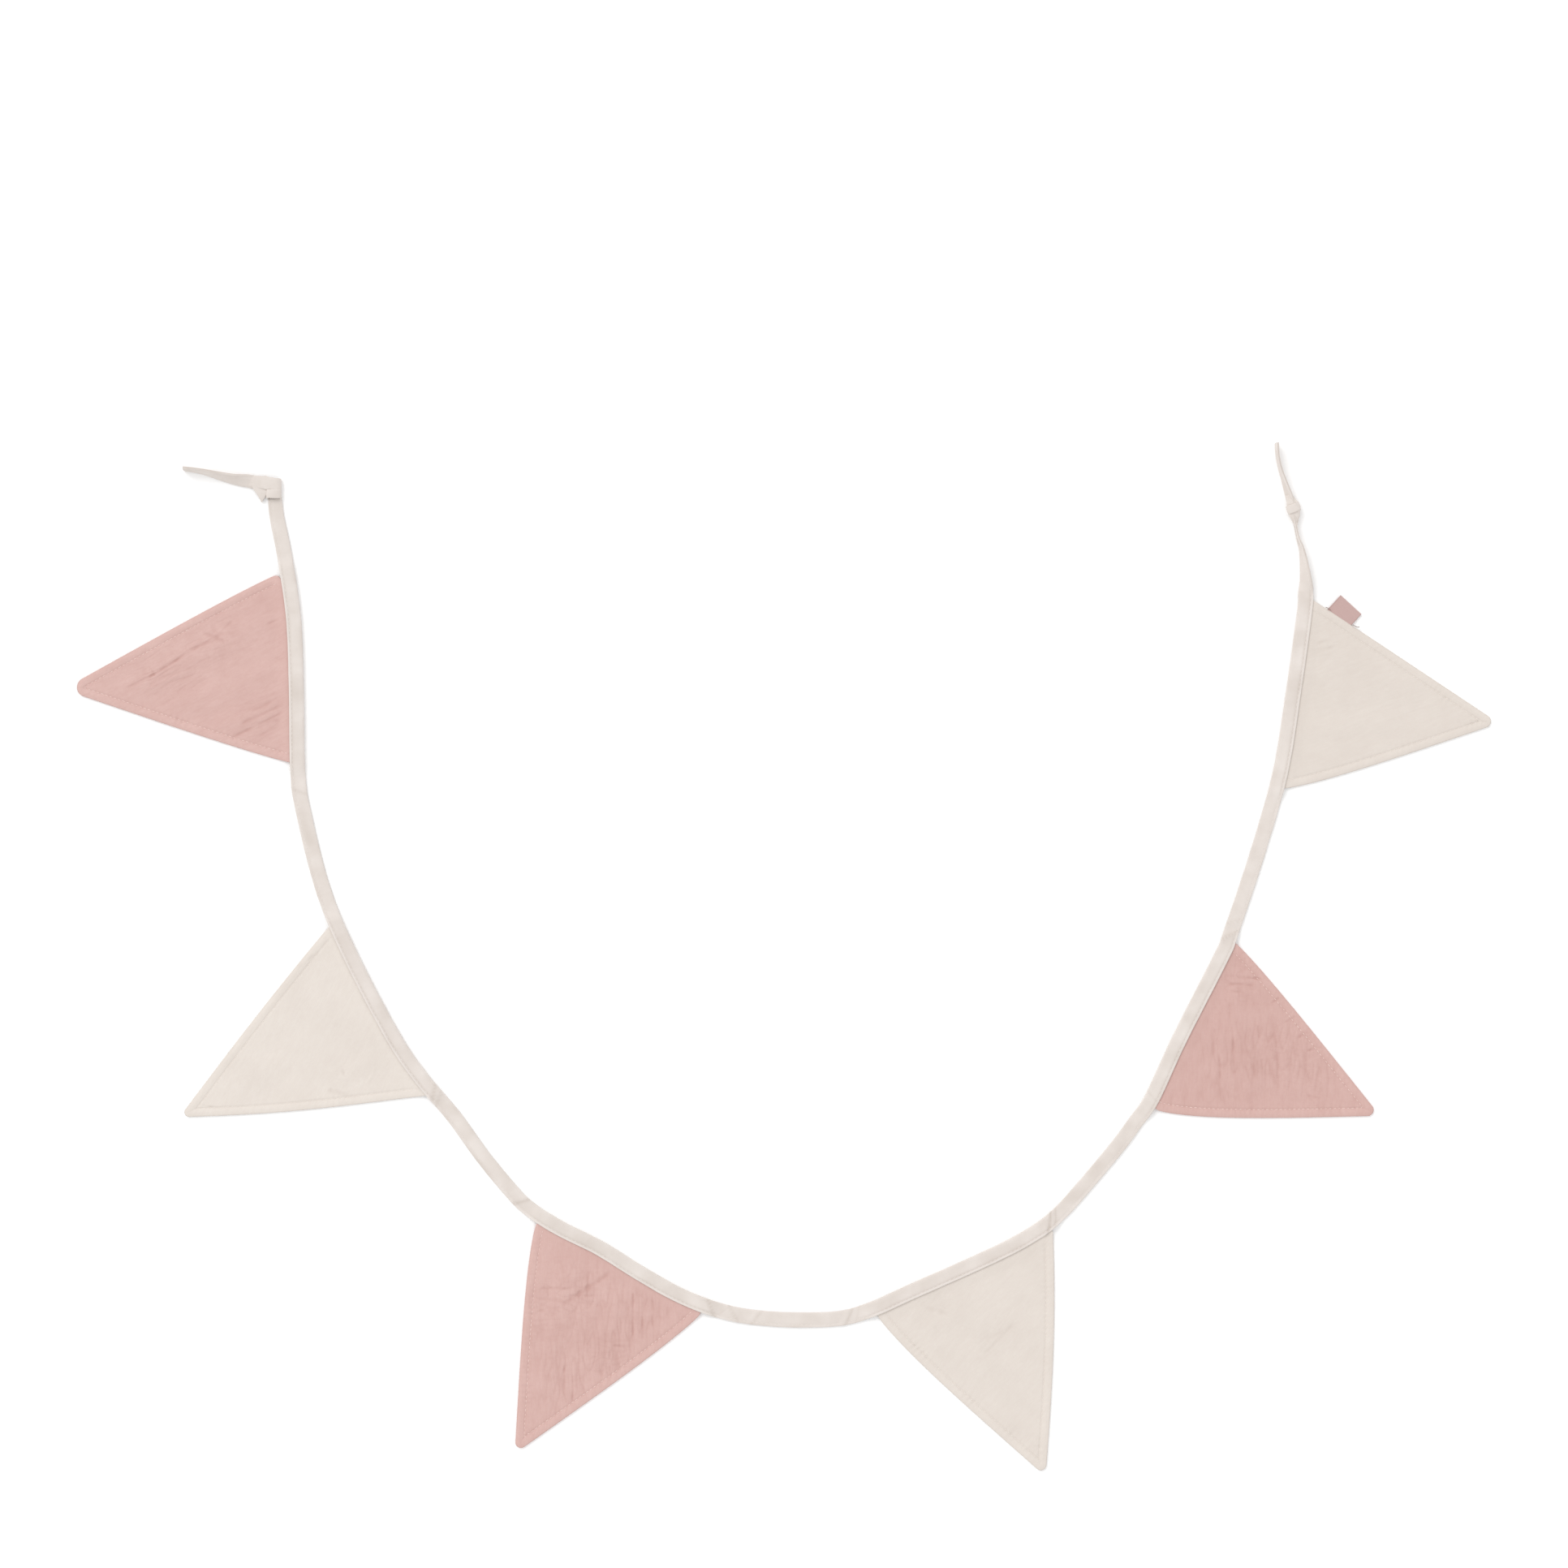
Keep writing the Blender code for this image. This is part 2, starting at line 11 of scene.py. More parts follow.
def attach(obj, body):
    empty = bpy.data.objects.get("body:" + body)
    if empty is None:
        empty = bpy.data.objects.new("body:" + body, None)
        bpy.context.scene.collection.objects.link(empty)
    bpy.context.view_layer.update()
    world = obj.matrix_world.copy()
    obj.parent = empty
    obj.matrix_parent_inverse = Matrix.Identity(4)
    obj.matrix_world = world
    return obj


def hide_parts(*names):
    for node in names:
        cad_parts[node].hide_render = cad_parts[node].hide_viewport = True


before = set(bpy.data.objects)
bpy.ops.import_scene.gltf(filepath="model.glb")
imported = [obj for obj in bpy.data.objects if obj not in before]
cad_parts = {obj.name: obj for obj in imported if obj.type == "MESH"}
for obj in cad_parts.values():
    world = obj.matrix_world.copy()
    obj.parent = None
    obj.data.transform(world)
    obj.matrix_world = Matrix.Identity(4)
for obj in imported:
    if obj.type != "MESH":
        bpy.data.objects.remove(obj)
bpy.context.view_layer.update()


# CARRYING TAPE
# A strip of cream cotton, its raw edges pressed in and the whole folded in half to 10.5 mm, with the
# fold on the inner side of the U. The pennants' top edges lie between its two leaves, and one row of
# stitches near the open edge holds them and sews the leaves shut between them.

MM = 0.001
CENTRE_X = 0.2
CENTRE_Y = -0.7

TAPE_WIDTH = 10.5
TAPE_LEAF = 0.75
TAPE_SLIT_SHUT = 0.03
TAPE_SLIT_AT_PENNANT = 1.75
TAPE_SLIT_DEPTH = 8.9
TAPE_SLIT_DEPTH_SEWN = 0.7
TAPE_STITCH_IN = 1.9
TAPE_STITCH_DIP = 0.22
TAPE_STITCH_DIP_BETWEEN = 0.08
TAPE_EDGE_LIFT = 0.2
TAPE_STATION = 1.6
TAPE_UNEVEN_EDGE = 0.14
TAPE_UNEVEN_FACE = 0.16
SLIT_PAST_PENNANT = 1.5
SLIT_RUN_OUT = 10.0
TAPE_COTTON = "ded6d0"
TAPE_SHADE = "c6bbb2"

# How much painted shade darkens the tape in its stitched groove, by steps from it round the outline, where it
# is sewn over a pennant, and how much a painted highlight lightens the strip outside it
GROOVE_SHADE_AND_HIGHLIGHT = {-3: -0.4, -2: -0.3, -1: 0.05, 0: 0.35, 1: 0.25, 2: 0.1}

# How much painted shade darkens the tape beside a crease's ridge, on one flank, per mm of its height
CREASE_SHADE = 0.8

# Middle line between the knots: x and y in mm. Where the tape is turned on edge or narrower, its
# twist in degrees and its width in mm follow.
TAPE_ROUTE = (
    (-357.2, 322, 0, 9.6), (-355.5, 307, 0, 10.2), (-350.1, 280), (-344, 238), (-342, 190),
    (-341, 130), (-337, 101), (-323, 46), (-303.5, -0.5), (-273.5, -57.5), (-254, -86),
    (-232, -112), (-211, -141), (-192, -164), (-179, -177), (-157, -191), (-129, -205),
    (-100, -223), (-71, -239), (-41, -250), (-12, -254.5), (17, -255.5), (42, -254), (62, -248),
    (90, -235.5), (147, -210), (176, -194.5), (195, -179.5), (216, -156), (235.5, -132.5),
    (246.5, -117.5), (258.5, -100), (278, -58), (307, -1), (314, 16), (333, 73), (348.7, 129),
    (358, 186), (365.5, 240), (366.5, 254), (366.4, 264, 40, 9.7), (363.8, 284, 73, 7.8),
    (360.7, 294, 84, 6.2), (358, 309, 85, 5.5),
)
LEFT_TAIL = (
    (-360, 329, 0, 9.4), (-373, 333, 12, 9.6), (-385, 334.5, 46, 9.6), (-396, 337, 60, 9.6),
    (-408, 340, 74, 9.4), (-421, 342, 80, 9.0),
)
RIGHT_TAIL = (
    (357, 315, 40, 7.0), (354.3, 324, 58, 7.4), (351.3, 333, 76, 8.0), (348.4, 342, 84, 8.6),
    (346.5, 351, 86, 9.2), (345.9, 360, 86, 9.4),
)

# Creases across the tape: distance along it, lean, height and half width, in mm
TAPE_CREASES = (
    (206, 0.5, 0.35, 2.6), (440, -0.7, 0.5, 2.8), (446, -0.5, 0.35, 2.0), (538, 0.6, 0.6, 3.0),
    (691, -0.8, 0.6, 3.0), (700, 0.8, -0.3, 2.2), (708, -0.8, 0.5, 2.6), (724, 0.6, 0.4, 2.6),
    (789, 0.7, 0.6, 3.0), (796, 0.6, -0.3, 2.0), (945, 1.0, 0.9, 3.0), (951, 0.9, 0.5, 2.2),
    (1060, 0.4, -0.35, 2.0), (1186, -0.9, 0.6, 3.0), (1196, -0.6, 0.4, 2.4),
)

# Where the pennants' free sides meet the tape's open edge, from the left end to the right one
PENNANT_CORNERS = (
    ((-353.5, 268.5), (-346, 136)), ((-318, 22), (-251, -98)), ((-173, -187.5), (-58.5, -251)),
    ((65, -250), (189, -193.5)), ((261, -107), (316.5, 9.5)), ((350.5, 118), (371.5, 250)),
)


def place(x, y, z):
    """A point in mm of the lay as metres in the row's frame."""
    return ((x - CENTRE_X) * MM, (y - CENTRE_Y) * MM, z * MM)


def smooth_step(value):
    """0 below 0, 1 above 1 and an even slope between, for numbers and arrays."""
    t = np.clip(value, 0.0, 1.0)
    return t * t * (3.0 - 2.0 * t)


def distances_along(points):
    """How far along a line each of its points lies."""
    return np.concatenate([[0.0], np.cumsum(np.linalg.norm(np.diff(points, axis=0), axis=1))])


def points_at(line, distances):
    """The points that lie at some distances along a line."""
    along = distances_along(line)
    return np.stack([np.interp(distances, along, column) for column in line.T], -1)


def smooth_rows(rows, steps=24, curved=2):
    """Rows along a Catmull-Rom curve: the first few columns curve, the others run straight between."""
    rows = np.array(rows, dtype=float)
    rows = np.vstack([2 * rows[0] - rows[1], rows, 2 * rows[-1] - rows[-2]])
    points = []
    for a, b, c, d in zip(rows[:-3], rows[1:-2], rows[2:-1], rows[3:]):
        for t in np.linspace(0.0, 1.0, steps, endpoint=False):
            spot = 0.5 * (2 * b + (c - a) * t + (2 * a - 5 * b + 4 * c - d) * t ** 2
                          + (3 * b - a - 3 * c + d) * t ** 3)
            points.append(list(spot[:curved]) + list(b[curved:] + (c - b)[curved:] * t))
    points.append(list(rows[-2]))
    return np.array(points)


class Route:
    """A line on the surface that gives its middle, its side direction, twist and width by distance."""

    def __init__(self, rows):
        flat_and_full = (0.0, TAPE_WIDTH)
        self.points = smooth_rows([row + flat_and_full[len(row) - 2:] for row in rows])
        self.along = distances_along(self.points[:, :2])
        self.length = self.along[-1]

    def row(self, along):
        return np.array([np.interp(along, self.along, column) for column in self.points.T])

    def outward(self, along):
        start = self.row(max(along - 2.0, 0.0))[:2]
        end = self.row(min(along + 2.0, self.length))[:2]
        way = (end - start) / np.linalg.norm(end - start)
        return np.array([way[1], -way[0]])

    def offset(self, along, out):
        return self.row(along)[:2] + self.outward(along) * out

    def nearest(self, point):
        gaps = np.linalg.norm(self.points[:, :2] - np.array(point), axis=1)
        return self.along[gaps.argmin()]


def tape_outline(width, slit, held):
    """The folded tape across its width: distances out with heights, and the stitched groove's place."""
    half = width / 2.0
    depth = TAPE_SLIT_DEPTH_SEWN + (TAPE_SLIT_DEPTH - TAPE_SLIT_DEPTH_SEWN) * held
    root = half - min(depth, width - 1.5)
    leaf = TAPE_LEAF
    top = 2.0 * leaf + slit
    stitch = half - TAPE_STITCH_IN
    tip = ((0.35, 0.0), (0.1, 0.13), (0.0, 0.37), (0.1, 0.62), (0.35, leaf))
    outline = [(-half + 0.8, 0.0), (-0.4 * half, 0.0), (0.0, 0.0), (0.4 * half, 0.0), (0.75 * half, 0.0)]
    outline += [(half - back, up) for back, up in tip]
    inner = [root + (half - 0.35 - root) * share for share in (0.66, 0.33)]
    outline += [(inner[0], leaf), (inner[1], leaf), (root, leaf), (root - 0.2, leaf + 0.5 * slit)]
    outline += [(root, leaf + slit), (inner[1], leaf + slit), (inner[0], leaf + slit)]
    outline += [(half - back, leaf + slit + up) for back, up in tip]
    lift = TAPE_EDGE_LIFT * held
    dip = TAPE_STITCH_DIP_BETWEEN + (TAPE_STITCH_DIP - TAPE_STITCH_DIP_BETWEEN) * held
    outline += [(stitch + 1.0, top + 0.05 + lift), (stitch + 0.5, top + 0.3 * lift)]
    groove = len(outline)
    outline += [(stitch, top - dip), (stitch - 0.5, top - 0.02), (stitch - 1.0, top + 0.06)]
    outline += [(0.2 * half, top + 0.1), (-0.15 * half, top + 0.02), (-0.5 * half, top + 0.04)]
    outline += [(-half + 0.8, top + 0.02), (-half + 0.3, 0.9 * top), (-half + 0.05, 0.7 * top)]
    outline += [(-half, 0.5 * top), (-half + 0.05, 0.3 * top), (-half + 0.3, 0.1 * top)]
    return outline, groove


def tape_run(route, stretches, creases, seed):
    """Rings of points along a run of tape, the distance along it of each, their shading and the groove."""
    rings = []
    shading = []
    stations = np.linspace(0.0, route.length, int(route.length / TAPE_STATION) + 2)
    for along in stations:
        x, y, twist, width = route.row(along)
        beyond = min([max(first - along, along - last) for first, last in stretches] or [99.0])
        held = 1.0 - smooth_step((beyond - SLIT_PAST_PENNANT) / SLIT_RUN_OUT)
        slit = TAPE_SLIT_SHUT + held * (TAPE_SLIT_AT_PENNANT - TAPE_SLIT_SHUT)
        outline, groove = tape_outline(width, slit, held)
        top = 2.0 * TAPE_LEAF + slit
        turn = math.radians(twist)
        side = route.outward(along)
        ring = []
        for k, (u, v) in enumerate(outline):
            # Each point's darkening: random wear, painted shade beside creases and, over a pennant, painted
            # shade in the stitched groove with a painted highlight on the strip outside it
            worn = noise.noise(Vector((along / 16.0, k / 6.0, seed + 3.0)))
            # folded gathers painted shade on one flank of each crease, just past its ridge
            folded = 0.0
            for middle, lean, height, spread in creases:
                past_ridge = (along + u * lean - middle) / spread - 0.7
                folded += CREASE_SHADE * abs(height) * math.exp(-(past_ridge / 0.4) ** 2)
            shading.append(0.35 * worn + folded + held * GROOVE_SHADE_AND_HIGHLIGHT.get(k - groove, 0.0))
            edge = noise.noise(Vector((along / 11.0, seed + math.copysign(3.0, u), 0.0)))
            face = noise.noise(Vector((along / 7.0, u / 3.5, seed)))
            lift = noise.noise(Vector((along / 24.0, u / 9.0, seed + 8.0)))
            share_up = v / top
            v += (0.6 * face + lift) * TAPE_UNEVEN_FACE * share_up
            for middle, lean, height, spread in creases:
                away = abs(along + u * lean - middle) / spread
                v += height * max(0.0, 1.0 - away) ** 1.5 * share_up
            u += edge * TAPE_UNEVEN_EDGE * abs(u) / (width / 2.0)
            ring.append((u * math.cos(turn) - v * math.sin(turn), u * math.sin(turn) + v * math.cos(turn)))
        outs, heights = np.array(ring).T
        outs = outs - (outs.max() + outs.min()) / 2.0
        heights = heights - heights.min()
        rings.append([place(x + side[0] * out, y + side[1] * out, up) for out, up in zip(outs, heights)])
    return np.array(rings), stations, shading, groove


def closed_loft(rings, closed_on_itself=False):
    """Vertices and faces of a tube through the rings, its two ends filled unless it closes on itself."""
    count = len(rings[0])
    vertices = [tuple(point) for ring in rings for point in ring]
    faces = []
    last = len(rings) if closed_on_itself else len(rings) - 1
    for i in range(last):
        j = (i + 1) % len(rings)
        for k in range(count):
            m = (k + 1) % count
            faces.append((i * count + k, i * count + m, j * count + m, j * count + k))
    if not closed_on_itself:
        faces.append(tuple(range(count)))
        faces.append(tuple(range((len(rings) - 1) * count, len(rings) * count)))
    return vertices, faces


def joined_lofts(lofts):
    """Vertices and faces of some lofts as one mesh, each loft with whether it closes on itself."""
    vertices = []
    faces = []
    for rings, closes in lofts:
        part, part_faces = closed_loft(rings, closes)
        faces += [tuple(i + len(vertices) for i in face) for face in part_faces]
        vertices += part
    return vertices, faces


def add_object(name, data):
    """An object in the scene with some data."""
    added = bpy.data.objects.new(name, data)
    bpy.context.scene.collection.objects.link(added)
    return added


def new_piece(name, vertices, faces, cloth_uv=None, crease=None):
    """A mesh object with outward faces, and the cloth's own coordinates and its crease attribute, mostly
    painted shade, where they're given.
    """
    data = bpy.data.meshes.new(name)
    data.from_pydata(vertices, [], faces)
    piece = add_object(name, data)
    solid = bmesh.new()
    solid.from_mesh(data)
    bmesh.ops.recalc_face_normals(solid, faces=solid.faces)
    solid.to_mesh(data)
    solid.free()
    data.shade_smooth()
    corners = np.zeros(len(data.loops), dtype=np.int32)
    data.loops.foreach_get("vertex_index", corners)
    if cloth_uv is not None:
        layer = data.uv_layers.new(name="cloth")
        layer.data.foreach_set("uv", np.array(cloth_uv, dtype=np.float32)[corners].ravel())
    if crease is not None:
        data.attributes.new("crease", "FLOAT", "POINT").data.foreach_set(
            "value", np.array(crease, dtype=np.float32))
    return piece


def linear(code, alpha=1.0):
    """An sRGB hex colour as linear red, green, blue and alpha."""
    parts = [int(code[i:i + 2], 16) / 255.0 for i in (0, 2, 4)]
    return tuple(c / 12.92 if c <= 0.04045 else ((c + 0.055) / 1.055) ** 2.4 for c in parts) + (alpha,)


def set_inputs(tree, node, inputs):
    """Gives a node's inputs values or links. A node given as a value stands for its first output."""
    for key, value in inputs.items():
        if isinstance(value, bpy.types.Node):
            value = value.outputs[0]
        if isinstance(value, bpy.types.NodeSocket):
            tree.links.new(value, node.inputs[key])
        else:
            node.inputs[key].default_value = value


def add_node(tree, kind, inputs=None, **settings):
    """Adds a node with its settings, its inputs' values and its links from other nodes' sockets."""
    node = tree.nodes.new(kind)
    for name, value in settings.items():
        setattr(node, name, value)
    set_inputs(tree, node, inputs or {})
    return node


def new_material(name):
    """A material, its nodes and its surface shader."""
    material = bpy.data.materials.new(name)
    material.use_nodes = True
    return material, material.node_tree, material.node_tree.nodes["Principled BSDF"]


def tape_cotton():
    """Plain-woven cotton bias tape, pressed: matt, close and even, with faint diagonal threads.

    The threads, 0.35 mm apart in the real cloth, are drawn about 0.7 mm apart so that they show.
    """
    material, tree, shader = new_material("pressed cotton bias tape")
    strip = add_node(tree, "ShaderNodeUVMap", uv_map="cloth")
    bias = add_node(tree, "ShaderNodeVectorRotate", {
        "Vector": strip.outputs["UV"], "Angle": math.radians(45.0)}, rotation_type="Z_AXIS")
    threads = []
    for stretch in ((1400.0, 160.0, 1.0), (160.0, 1400.0, 1.0)):
        drawn_out = add_node(tree, "ShaderNodeMapping", {"Vector": bias, "Scale": stretch})
        threads.append(add_node(tree, "ShaderNodeTexNoise", {
            "Vector": drawn_out, "Scale": 1.0, "Detail": 1.0, "Roughness": 0.5}))
    weave = add_node(tree, "ShaderNodeMath", {
        0: threads[0].outputs["Fac"], 1: threads[1].outputs["Fac"]}, operation="ADD")
    handling = add_node(tree, "ShaderNodeTexNoise", {
        "Vector": strip.outputs["UV"], "Scale": 60.0, "Detail": 3.0, "Roughness": 0.6})
    # The crease attribute darkens the cotton toward its shade colour: random wear, painted shade beside
    # creases and in the stitched groove, and a painted highlight on the strip outside the groove
    creased = add_node(tree, "ShaderNodeAttribute", attribute_name="crease")
    tone = add_node(tree, "ShaderNodeMath", {
        0: handling.outputs["Fac"], 1: creased.outputs["Fac"]}, operation="ADD")
    shade = add_node(tree, "ShaderNodeMapRange", {
        "Value": tone, "From Min": 0.2, "From Max": 1.3})
    colour = add_node(tree, "ShaderNodeMix", {
        0: shade, 6: linear(TAPE_COTTON), 7: linear(TAPE_SHADE)}, data_type="RGBA")
    bump = add_node(tree, "ShaderNodeBump", {
        "Height": weave, "Strength": 0.3, "Distance": 0.0001})
    set_inputs(tree, shader, {
        "Base Color": colour.outputs[2], "Normal": bump, "Roughness": 0.9,
        "Specular IOR Level": 0.25, "Sheen Weight": 0.12, "Sheen Roughness": 0.5})
    return material


route = Route(TAPE_ROUTE)
stretches = [(route.nearest(first), route.nearest(last)) for first, last in PENNANT_CORNERS]
tape_runs = (
    tape_run(route, stretches, TAPE_CREASES, 1.0),
    tape_run(Route(LEFT_TAIL), [], (), 20.0),
    tape_run(Route(RIGHT_TAIL), [], (), 40.0),
)
tape_vertices, tape_faces = joined_lofts([(run[0], False) for run in tape_runs])
tape_uv = []
tape_wear_and_painted_light = []
for rings, stations, shading, groove in tape_runs:
    tape_wear_and_painted_light += shading
    round_strip = np.linspace(0.0, 4.0 * TAPE_WIDTH * MM, len(rings[0]))
    tape_uv += [(along * MM, across) for along in stations for across in round_strip]
tape = new_piece("tape_cloth", tape_vertices, tape_faces, tape_uv, tape_wear_and_painted_light)
cotton = tape_cotton()
tape.data.materials.append(cotton)
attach(tape, "root")
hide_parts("tape")


# KNOTS
# The tape itself, tied in a tight overhand knot near each end and pressed flat: a turn of tape wrapped
# round the standing part, a folded-over hood where the tail leaves it, and a pinched corner.

STRIP_AROUND = 22
STRIP_STEPS = 8
TURN_STEPS = 44
KNOT_LOWEST = 0.02

# How thick each strip of a knot is, in mm
HOOD_THICK = 1.5
FLAP_THICK = 1.4
PAD_THICK = 3.9
CORNER_THICK = 1.3

# The turn round each knot: its middle, its reach to the side, its half height, half its width and its
# thickness, in mm
LEFT_TURN = ((-357.8, 324.5, 2.4), (4.7, 0.0, 0.0), 1.9, (0.1, 3.3, 0.0), 1.3)
RIGHT_TURN = ((357.5, 314.2, 3.8), (3.9, 1.5, 0.0), 2.5, (-1.1, 2.8, 0.0), 1.2)

# Each strip is a row of middle x, y, z and half width x, y, z, in mm
LEFT_HOOD = (
    (-376.4, 333.4, 1.4, 0.2, 3.2, 0.6), (-371.2, 332.9, 2.5, 0.1, 4.2, 0.4),
    (-365.0, 332.4, 3.5, 0.0, 4.7, 0.2), (-359.5, 331.7, 4.1, -0.2, 4.5, 0.1),
    (-355.6, 331.1, 4.0, -0.2, 4.3, 0.0), (-353.6, 330.9, 3.1, -0.1, 4.2, 0.0),
    (-353.2, 330.9, 1.9, 0.0, 4.1, 0.0), (-355.0, 331.0, 0.9, 0.0, 4.0, 0.0),
)
LEFT_FLAP = (
    (-366.6, 331.6, 2.3, 6.9, -0.6, -0.2), (-366.9, 328.4, 2.4, 6.0, -0.6, -0.1),
    (-366.6, 325.4, 2.3, 4.3, -0.5, 0.2), (-366.3, 322.6, 1.9, 2.6, -0.3, 0.3),
    (-366.3, 320.4, 1.4, 1.2, -0.1, 0.1), (-366.4, 318.9, 0.9, 0.4, 0.0, 0.0),
)
RIGHT_PAD = (
    (354.6, 323.4, 2.6, 2.4, 0.6, 0.3), (355.9, 320.2, 3.3, 3.4, 0.8, 0.2),
    (357.6, 316.2, 3.8, 4.5, 1.0, 0.0), (357.9, 312.2, 3.7, 4.3, 0.9, 0.0),
    (358.7, 308.2, 3.1, 3.0, 0.6, -0.1), (359.3, 304.4, 2.3, 1.7, 0.4, 0.0),
    (359.6, 302.6, 1.9, 1.3, 0.3, 0.0),
)
RIGHT_CORNER = (
    (358.6, 316.6, 6.4, 0.8, 2.2, 0.2), (360.4, 314.2, 5.6, 0.6, 2.3, 0.1),
    (361.6, 311.6, 4.4, 0.3, 2.6, 0.0), (361.4, 309.2, 3.2, 0.2, 2.4, 0.0),
)


def strip_ring(middle, half_width, up, thick):
    """One flattened loop round a strip of cloth, rounded at its two edges."""
    ring = []
    for k in range(STRIP_AROUND):
        angle = 2.0 * math.pi * k / STRIP_AROUND
        across = math.copysign(abs(math.cos(angle)) ** 0.75, math.cos(angle))
        raised = math.copysign(abs(math.sin(angle)) ** 0.55, math.sin(angle))
        ring.append(middle + half_width * across + up * raised * thick / 2.0)
    return ring


def strip_rings(rows, thick, seed):
    """Rings along a strip that lies as its rows say, with slight unevenness."""
    spots = smooth_rows(rows, STRIP_STEPS, curved=6)
    ways = np.gradient(spots[:, :3], axis=0)
    rings = []
    for spot, way in zip(spots, ways):
        up = np.cross(spot[3:], way)
        up = up / np.linalg.norm(up)
        uneven = 1.0 + 0.14 * noise.noise(Vector((spot[0] / 3.0, spot[1] / 3.0, seed)))
        rings.append(strip_ring(spot[:3], spot[3:] * uneven, up, thick * uneven))
    return rings


def wrap_rings(middle, reach, height, half_width, thick, seed):
    """Rings of a turn of tape that closes on itself round the standing part."""
    reach = np.array(reach)
    rings = []
    for k in range(TURN_STEPS):
        angle = 2.0 * math.pi * k / TURN_STEPS
        flat = math.copysign(abs(math.cos(angle)) ** 0.6, math.cos(angle))
        rise = math.copysign(abs(math.sin(angle)) ** 0.8, math.sin(angle))
        spot = np.array(middle) + reach * flat + np.array((0.0, 0.0, height)) * rise
        up = reach / np.linalg.norm(reach) * math.cos(angle) + np.array((0.0, 0.0, math.sin(angle)))
        uneven = 1.0 + 0.12 * noise.noise(Vector((math.cos(angle), math.sin(angle), seed)))
        rings.append(strip_ring(spot, np.array(half_width) * uneven, up, thick))
    return rings


def knot(name, strips, wraps):
    """A knot as one piece: its open strips and the turns that close on themselves."""
    parts, faces = joined_lofts([(rings, False) for rings in strips] + [(rings, True) for rings in wraps])
    vertices = [place(x, y, max(z, KNOT_LOWEST)) for x, y, z in parts]
    strip_uv = [(x, y) for x, y, z in vertices]
    piece = new_piece(name, vertices, faces, strip_uv, [0.0] * len(vertices))
    piece.data.materials.append(cotton)
    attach(piece, "root")
    return piece


left_knot = knot(
    "left_knot",
    [strip_rings(LEFT_HOOD, HOOD_THICK, 1.0), strip_rings(LEFT_FLAP, FLAP_THICK, 2.0)],
    [wrap_rings(*LEFT_TURN, 3.0)],
)
right_knot = knot(
    "right_knot",
    [strip_rings(RIGHT_PAD, PAD_THICK, 5.0), strip_rings(RIGHT_CORNER, CORNER_THICK, 8.0)],
    [wrap_rings(*RIGHT_TURN, 6.0)],
)


# PENNANTS
# Two layers of crinkled cotton muslin, sewn right sides together along the two free sides, turned and
# pressed, so that a soft ridge of seam allowance runs inside each edge. The open top edge is caught in
# the tape. Three are dusty pink and three warm cream.

PENNANT_THICK = 1.45
PENNANT_THICK_IN_TAPE = 1.3
PENNANT_HELD = 7.7
PENNANT_OFF_LEAF = 0.12
PENNANT_DROP = 8.0
EDGE_ROUND = 0.75
SEAM_RIDGE = 0.36
SEAM_RIDGE_IN = 2.6
SEAM_RIDGE_SPREAD = 1.7
TOPSTITCH_IN = 5.8
TOPSTITCH_DIP = 0.42
TOPSTITCH_DIP_SPREAD = 0.6
TOPSTITCH_PITCH = 3.14
PUCKER = 0.2
PUCKER_PITCH = 4.2
PUCKER_SPREAD = 3.6
FOLD_SLACK = 0.3
BAND_LIGHTER = 0.14
RIM_PAINTED_SHADE = 0.5
RIM_SPREAD = 0.55
SHADE_BELOW = 0.3
ROWS_ALONG = 190
ROWS_IN_TAPE = 8
ROWS_ROUND_TIP = 12
FINE_EDGE = (0.0, 0.12, 0.35, 0.7, 1.2, 1.9, 2.7, 3.6, 4.5, 5.0, 5.4, 5.8, 6.2, 6.7, 7.6)
FINE_COLUMNS = 166
PLAIN_EDGE = (0.0, 0.35, 1.2, 2.7, 5.8, 7.6)
PLAIN_COLUMNS = 44
OUTLINE_MARKS = 900
POINTS_AT_ONCE = 4000

# Bows are how far the sides swell out, peaks where, from the tape. The grain is the way of the cloth's
# long crinkles in degrees, crinkle is how strongly they are raised, and tone is painted shade, more on
# the pennants further right, as if the light fell off from the left.
PENNANT_COLUMNS = ("name", "cloth", "tip", "tip_radius", "first_bow", "first_peak", "last_bow",
                   "last_peak", "grain", "crinkle", "tone")
PENNANTS = (
    ("flag_1", "pink", (-496, 188.2), 7.0, 1.6, 0.3, 1.5, 0.3, 27.0, 0.9, 0.1),
    ("flag_2", "cream", (-420.2, -111), 3.0, 1.3, 0.45, 2.6, 0.55, 60.0, 0.45, 0.0),
    ("flag_3", "pink", (-186.2, -344.8), 3.6, 3.4, 0.3, 2.7, 0.3, 91.0, 1.0, 0.2),
    ("flag_4", "cream", (182.1, -360.6), 3.6, 4.0, 0.3, 2.8, 0.45, 48.0, 0.5, 0.2),
    ("flag_5", "pink", (413.8, -109.7), 4.0, 4.7, 0.3, 2.1, 0.3, 88.0, 1.0, 0.36),
    ("flag_6", "cream", (496.5, 164.3), 4.5, 3.0, 0.3, 0.2, 0.3, 20.0, 0.4, 0.36),
)

# A corner rounded off beside the tape: how far past the tape it starts, and what it takes off, in mm
ROUNDED_CORNER = {"flag_1": (5.7, 3.4)}

